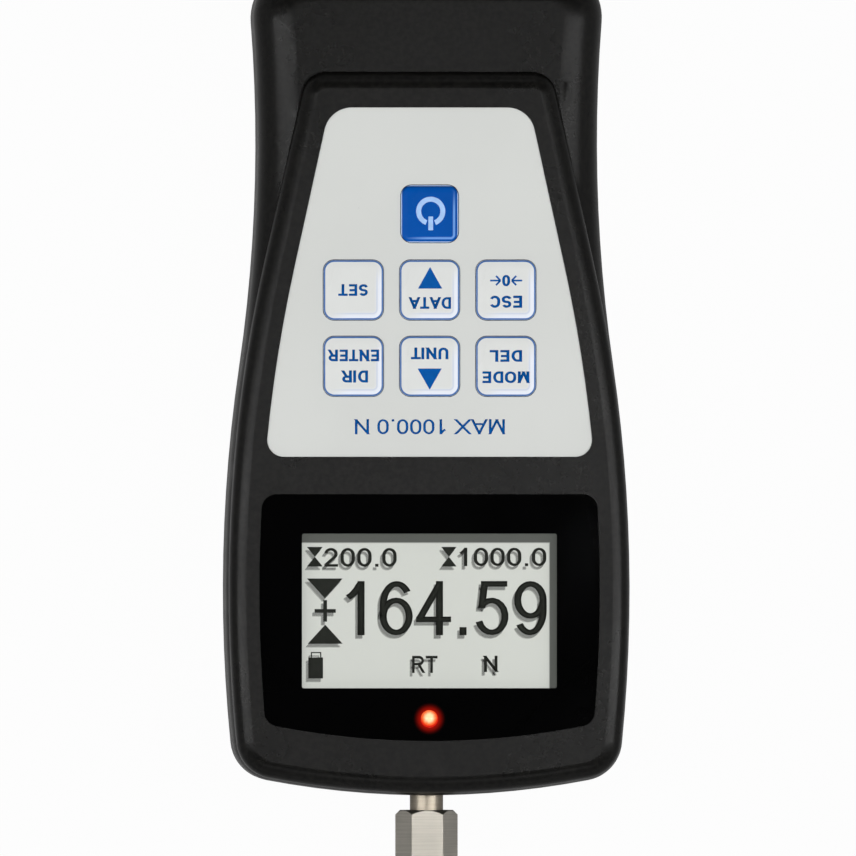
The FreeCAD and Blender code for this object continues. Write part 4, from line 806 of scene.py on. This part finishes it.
def lettering(name, words, width, height, x, y, z, ink, line, contrast=1.0, turned=False):
    """Words drawn with a round pen as a curve, flattened to one ink film, as wide and high as
    measured and centred on x and y. The line is the pen's width to a height of 1."""
    deselect()
    curve = bpy.data.curves.new(name, "CURVE")
    curve.dimensions = "3D"
    curve.twist_mode = "Z_UP"
    curve.bevel_depth = line / 2
    curve.bevel_resolution = 0
    curve.use_fill_caps = True
    for points, closed in letter_strokes(words, line, contrast):
        spline = curve.splines.new("POLY")
        spline.points.add(len(points) - 1)
        for point, (u, v) in zip(spline.points, points):
            point.co = (u, v, 0.0, 1.0)
        spline.use_cyclic_u = closed
    piece = bpy.data.objects.new(name, curve)
    bpy.context.scene.collection.objects.link(piece)
    piece.select_set(True)
    bpy.context.view_layer.objects.active = piece
    bpy.ops.object.convert(target="MESH")
    piece = bpy.context.object
    bpy.ops.object.mode_set(mode="EDIT")
    for edge, facing in ((1.0, 1.0), (0.0, -1.0)):
        bpy.ops.mesh.select_all(action="SELECT")
        bpy.ops.mesh.bisect(
            plane_co=(0.0, edge, 0.0), plane_no=(0.0, facing, 0.0), use_fill=True, clear_outer=True,
        )
    bpy.ops.object.mode_set(mode="OBJECT")
    xs = [v.co.x for v in piece.data.vertices]
    bpy.ops.object.mode_set(mode="EDIT")
    bpy.ops.mesh.select_all(action="SELECT")
    bpy.ops.transform.translate(value=(-(min(xs) + max(xs)) / 2, -0.5, 0.0))
    bpy.ops.object.mode_set(mode="OBJECT")
    piece.scale = (width * MM / (max(xs) - min(xs)), height * MM, INK * MM / line)
    return settle(name, ink, x, y, z, turned)


def thicken():
    """Draws the flat face that is being edited up by one ink film and closes it."""
    bpy.ops.mesh.select_all(action="SELECT")
    bpy.ops.mesh.extrude_region_move(TRANSFORM_OT_translate={"value": (0.0, 0.0, INK * MM)})
    bpy.ops.mesh.select_all(action="SELECT")
    bpy.ops.transform.translate(value=(0.0, 0.0, -INK * MM / 2))
    bpy.ops.mesh.normals_make_consistent(inside=False)
    bpy.ops.object.mode_set(mode="OBJECT")


def start_plate(width, height):
    """A flat plate at the origin, left in edit mode with all of it selected."""
    deselect()
    bpy.ops.mesh.primitive_plane_add(size=1.0)
    bpy.ops.object.mode_set(mode="EDIT")
    bpy.ops.mesh.select_all(action="SELECT")
    bpy.ops.transform.resize(value=(width * MM, height * MM, 1.0), center_override=(0.0, 0.0, 0.0))
    return bpy.context.object


def arrow_mark(name, half_width, height, x, y, z, ink, down=False):
    """A filled triangle whose printed corners are a little rounded, centred on x and y."""
    corner = 0.12
    deselect()
    bpy.ops.mesh.primitive_circle_add(vertices=3, radius=1.0, fill_type="NGON")
    bpy.ops.object.mode_set(mode="EDIT")
    bpy.ops.mesh.select_all(action="SELECT")
    bpy.ops.transform.translate(value=(0.0, -0.25, 0.0))
    across = half_width * MM / (math.sqrt(3) / 2)
    tall = height * MM / 1.5
    bpy.ops.transform.resize(value=(across, -tall if down else tall, 1.0), center_override=(0.0, 0.0, 0.0))
    bpy.ops.mesh.bevel(offset=corner * MM, segments=2, affect="VERTICES")
    thicken()
    return settle(name, ink, x, y, z)


def bar_mark(name, width, height, x, y, z, ink, corner=0.04):
    """A filled bar with rounded corners, centred on x and y."""
    start_plate(width, height)
    bpy.ops.mesh.bevel(offset=corner * MM, segments=4, affect="VERTICES")
    thicken()
    return settle(name, ink, x, y, z)


def pointer_mark(name, length, x, y, z, ink, leftwards=False):
    """A thin arrow with an open head, its tip half the length from x."""
    pen = 0.42
    barb_length = 1.55
    barb_angle = 46.0
    short = 0.3
    pieces = [bar_mark(name + "_shaft", length - short, pen, -short / 2, 0.0, 0.0, ink)]
    for side in (1.0, -1.0):
        barb = start_plate(barb_length, pen)
        bpy.ops.transform.translate(value=(-barb_length / 2 * MM, 0.0, 0.0))
        thicken()
        barb.location = (length / 2 * MM, 0.0, 0.0)
        barb.rotation_euler = (0.0, 0.0, side * math.radians(barb_angle))
        bpy.ops.object.transform_apply(location=True, rotation=True, scale=True)
        pieces.append(barb)
    merge_marks(name, pieces)
    return settle(name, ink, x, y, z, turned=leftwards)


def power_ring(name, radius, line, gap, x, y, z, ink):
    """An open ring: a disc inset by its line, its middle and its gap taken out."""
    deselect()
    bpy.ops.mesh.primitive_circle_add(vertices=120, radius=radius * MM, fill_type="NGON")
    piece = bpy.context.object
    bpy.ops.object.mode_set(mode="EDIT")
    bpy.ops.mesh.select_mode(type="FACE")
    bpy.ops.mesh.select_all(action="SELECT")
    bpy.ops.mesh.inset(thickness=line * MM)
    bpy.ops.mesh.delete(type="FACE")
    bpy.ops.mesh.select_all(action="DESELECT")
    bpy.ops.object.mode_set(mode="OBJECT")
    for face in piece.data.polygons:
        face.select = abs(face.center.x) < gap * MM / 2 and face.center.y < 0.0
    bpy.ops.object.mode_set(mode="EDIT")
    bpy.ops.mesh.delete(type="FACE")
    bpy.ops.mesh.select_mode(type="VERT")
    thicken()
    return settle(name, ink, x, y, z)


def merge_marks(name, marks):
    """Joins the marks into one piece of that name."""
    deselect()
    for mark in marks:
        mark.select_set(True)
    bpy.context.view_layer.objects.active = marks[0]
    bpy.ops.object.join()
    piece = bpy.context.object
    piece.name = name
    piece.data.name = name
    return piece


# Legends of the keys

LEGEND_PEN = 0.195
LEGEND_CONTRAST = 1.12

# For each key, its lines: the words, their width and height, and where their middle is
LEGENDS = {
    "set": [("SET", 7.1, 2.8, -18.4, 21.4)],
    "up": [("DATA", 10.2, 2.8, 0.03, 18.3)],
    "escape": [("ESC", 7.7, 2.9, 18.36, 18.6), ("0", 1.9, 2.7, 18.36, 23.68)],
    "enter": [("ENTER", 12.4, 2.8, -18.35, 5.71), ("DIR", 6.5, 2.9, -18.05, 0.66)],
    "down": [("UNIT", 9.0, 2.8, 0.0, 6.2)],
    "mode": [("DEL", 7.8, 2.8, 18.3, 5.6), ("MODE", 11.4, 2.8, 18.38, 0.48)],
}


def top_of(node):
    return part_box(node)[1].z + INK_LIFT * MM


def key_legends():
    for name, lines in LEGENDS.items():
        z = top_of("key_" + name)
        marks = []
        for words, width, height, x, y in lines:
            marks.append(lettering(
                name + "_words", words, width, height, x, y, z, LEGEND_INK,
                LEGEND_PEN, LEGEND_CONTRAST, turned=True,
            ))
        if name == "up":
            marks.append(arrow_mark("up_arrow", 2.9, 5.2, 0.1, 24.35, z, LEGEND_INK))
        if name == "down":
            marks.append(arrow_mark("down_arrow", 2.9, 5.1, 0.0, 0.02, z, LEGEND_INK, down=True))
        if name == "escape":
            marks.append(pointer_mark("zero_from_left", 2.5, 15.75, 23.68, z, LEGEND_INK))
            marks.append(pointer_mark("zero_from_right", 2.5, 20.95, 23.68, z, LEGEND_INK, leftwards=True))
        legend = merge_marks(name + "_legend", marks)
        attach(legend, name + "_key")


def power_symbol():
    z = top_of("key_power")
    ring = power_ring("ring", 3.5, 1.2, 2.2, 0.25, 40.3, z, SYMBOL_INK)
    stem = bar_mark("stem", 1.15, 3.3, 0.25, 37.4, z, SYMBOL_INK, 0.15)
    symbol = merge_marks("power_symbol", [ring, stem])
    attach(symbol, "power_key")


def range_line():
    line = lettering(
        "range_line", "MAX 1000.0 N", 36.4, 3.6, 0.0, -11.4, top_of("keypad_overlay"), LEGEND_INK,
        line=0.13, contrast=1.05, turned=True,
    )
    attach(line, "gauge")


# What the display shows. Each mark has its size and the place of its middle; words also have the
# width of their pen, and the contrast of their strokes.

DISPLAY_ARROWS = (
    ("low_limit_upper", 1.9, 2.35, -27.45, -41.425, True),
    ("low_limit_lower", 1.9, 2.35, -27.45, -43.775, False),
    ("high_limit_upper", 1.85, 2.35, 4.75, -41.425, True),
    ("high_limit_lower", 1.85, 2.35, 4.75, -43.775, False),
    ("above", 4.3, 4.75, -25.05, -50.2, True),
    ("below", 4.2, 4.6, -24.95, -61.2, False),
)
DISPLAY_WORDS = (
    ("low_value", "200.0", 17.4, 4.5, -16.5, -42.75, 0.14, 1.0),
    ("high_value", "1000.0", 20.9, 4.4, 17.7, -42.65, 0.14, 1.0),
    ("reading", "164.59", 48.3, 13.0, 4.1, -54.95, 0.103, 1.27),
    ("mode_mark", "RT", 6.1, 4.1, -1.02, -68.45, 0.155, 1.0),
    ("unit_mark", "N", 3.9, 3.9, 14.82, -68.33, 0.165, 1.0),
)
DISPLAY_BARS = (
    ("plus_across", 5.1, 0.9, -24.96, -55.61, 0.04),
    ("plus_upper", 0.9, 2.2, -24.96, -54.1, 0.04),
    ("plus_lower", 0.9, 2.2, -24.96, -57.1, 0.04),
    ("cell_body", 3.55, 5.05, -27.25, -69.3, 0.1),
    ("cell_cap_top", 2.5, 0.28, -27.15, -65.62, 0.04),
    ("cell_cap_left", 0.28, 1.05, -28.26, -66.25, 0.04),
    ("cell_cap_right", 0.28, 1.05, -26.04, -66.25, 0.04),
)

# How far each faint copy of the figures lies to the left, to the front and below them
SHADOW_SHIFTS = ((0.46, 0.74, 0.03), (0.62, 0.92, 0.04))


def display_figures():
    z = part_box("lcd_glass")[1].z + FIGURE_LIFT * MM
    marks = []
    for name, half_width, height, x, y, down in DISPLAY_ARROWS:
        marks.append(arrow_mark(name, half_width, height, x, y, z, FIGURE_INK, down))
    for name, words, width, height, x, y, line, contrast in DISPLAY_WORDS:
        marks.append(lettering(name, words, width, height, x, y, z, FIGURE_INK, line, contrast))
    for name, width, height, x, y, corner in DISPLAY_BARS:
        marks.append(bar_mark(name, width, height, x, y, z, FIGURE_INK, corner))
    figures = merge_marks("display_figures", marks)
    for number, shift in enumerate(SHADOW_SHIFTS):
        shadow_copy(figures, f"figure_shadow_{number}", shift)
    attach(figures, "gauge")


def shadow_copy(figures, name, shift):
    """A faint copy of the figures, moved by the shift."""
    deselect()
    figures.select_set(True)
    bpy.context.view_layer.objects.active = figures
    bpy.ops.object.duplicate()
    shadow = bpy.context.object
    bpy.ops.object.mode_set(mode="EDIT")
    bpy.ops.mesh.select_all(action="SELECT")
    bpy.ops.transform.translate(value=tuple(-step * MM for step in shift))
    bpy.ops.object.mode_set(mode="OBJECT")
    shadow.name = name
    shadow.data.name = name
    shadow.data.materials.clear()
    shadow.data.materials.append(SHADOW)
    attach(shadow, "gauge")


# Floor, light and camera

def pale_floor():
    """A floor that looks white and keeps a faint shadow."""
    seen_white = 0.975
    mirrored_white = 0.2
    deselect()
    bpy.ops.mesh.primitive_plane_add(size=60.0, location=(0.0, 0.0, -FLOOR_DROP * MM))
    floor = bpy.context.object
    floor.name = "floor"
    material, tree, shader, place = start_finish("floor_white")
    paint(tree, shader, drifting(tree, place, FLOOR_GREY, 0.01, fineness=2.0), 0.85)
    shader.inputs["Specular IOR Level"].default_value = 0.1
    path = tree.nodes.new("ShaderNodeLightPath").outputs
    reflected = reckon(tree, "MULTIPLY", path["Is Glossy Ray"], mirrored_white)
    seen = reckon(tree, "MAXIMUM", path["Is Camera Ray"], reflected)
    seen = reckon(tree, "MAXIMUM", seen, path["Is Transmission Ray"])
    white = add_node(tree, "ShaderNodeEmission", Color=WHITE, Strength=1.0)
    mixed = tree.nodes.new("ShaderNodeMixShader")
    tree.links.new(reckon(tree, "MULTIPLY", seen, seen_white), mixed.inputs[0])
    tree.links.new(shader.outputs[0], mixed.inputs[1])
    tree.links.new(white.outputs[0], mixed.inputs[2])
    output = next(n for n in tree.nodes if n.type == "OUTPUT_MATERIAL")
    tree.links.new(mixed.outputs[0], output.inputs["Surface"])
    floor.data.materials.append(material)


# The studio's air: its grey by the height of the direction, from the horizon to straight up
HORIZON = (0.70, 0.70, 0.71, 1.0)
OVERHEAD = (0.02, 0.02, 0.02, 1.0)
AIR_GREYS = ((0.30, 0.50), (0.62, 0.42), (0.80, 0.30), (0.90, 0.12), (0.975, 0.03))
TAIL_DIMMING = 0.45


def studio_air():
    """Pale at the horizon and dim overhead, so that flat gloss stays dark from above."""
    world = bpy.data.worlds.new("studio")
    bpy.context.scene.world = world
    world.use_nodes = True
    tree = world.node_tree
    tree.nodes.clear()
    output = tree.nodes.new("ShaderNodeOutputWorld")
    direction = split(tree, tree.nodes.new("ShaderNodeTexCoord").outputs["Generated"])
    ramp = add_node(tree, "ShaderNodeValToRGB", Fac=direction["Z"])
    stops = ramp.color_ramp.elements
    stops[0].position = 0.0
    stops[0].color = HORIZON
    stops[1].position = 1.0
    stops[1].color = OVERHEAD
    for position, grey in AIR_GREYS:
        stop = stops.new(position)
        stop.color = (grey, grey, grey, 1.0)
    air = add_node(tree, "ShaderNodeBackground", Color=ramp.outputs[0])
    fill(tree, air.inputs["Strength"], between(tree, direction["Y"], 0.0, 0.7, 1.0, TAIL_DIMMING))
    tree.links.new(air.outputs[0], output.inputs["Surface"])


# Each softbox: its place and its size in metres, and its power in watts
SOFTBOXES = {
    "left_box": ((-0.62, -0.05, 0.95), (0.11, 1.20), 5.4),
    "right_box": ((0.62, -0.05, 0.95), (0.11, 1.20), 5.7),
    "tail_box": ((0.0, 1.15, 0.75), (0.90, 0.30), 0.5),
    "nose_box": ((0.0, -0.50, 0.62), (0.50, 0.20), 0.3),
}
AIM_HEIGHT = 20.0


def lighting():
    """Rectangular lamps that face the middle of the picture."""
    aim = Vector((0.0, FIELD_CENTRE[1] * MM, AIM_HEIGHT * MM))
    for name, (place, size, power) in SOFTBOXES.items():
        deselect()
        bpy.ops.object.light_add(type="AREA", location=place)
        lamp = bpy.context.object
        lamp.name = name
        lamp.data.shape = "RECTANGLE"
        lamp.data.size = size[0]
        lamp.data.size_y = size[1]
        lamp.data.energy = power
        lamp.rotation_euler = (aim - Vector(place)).to_track_quat("-Z", "Y").to_euler()


def camera():
    target = Vector((FIELD_CENTRE[0] * MM, FIELD_CENTRE[1] * MM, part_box("front_housing")[1].z))
    lean = math.radians(CAMERA_LEAN)
    away = CAMERA_DISTANCE * MM
    place = target + Vector((-math.sin(lean) * away, 0.0, math.cos(lean) * away))
    bpy.ops.object.camera_add(location=place, rotation=(0.0, -lean, 0.0))
    eye = bpy.context.object
    eye.name = "photo_camera"
    eye.data.sensor_fit = "HORIZONTAL"
    eye.data.angle = 2 * math.atan(FIELD_WIDTH / 2 / CAMERA_DISTANCE)
    eye.data.clip_start = 0.01
    eye.data.clip_end = 50.0
    bpy.context.scene.camera = eye


camera()
dress_nodes()
key_legends()
power_symbol()
range_line()
display_figures()
pale_floor()
studio_air()
lighting()
bpy.context.scene.view_settings.view_transform = "Standard"
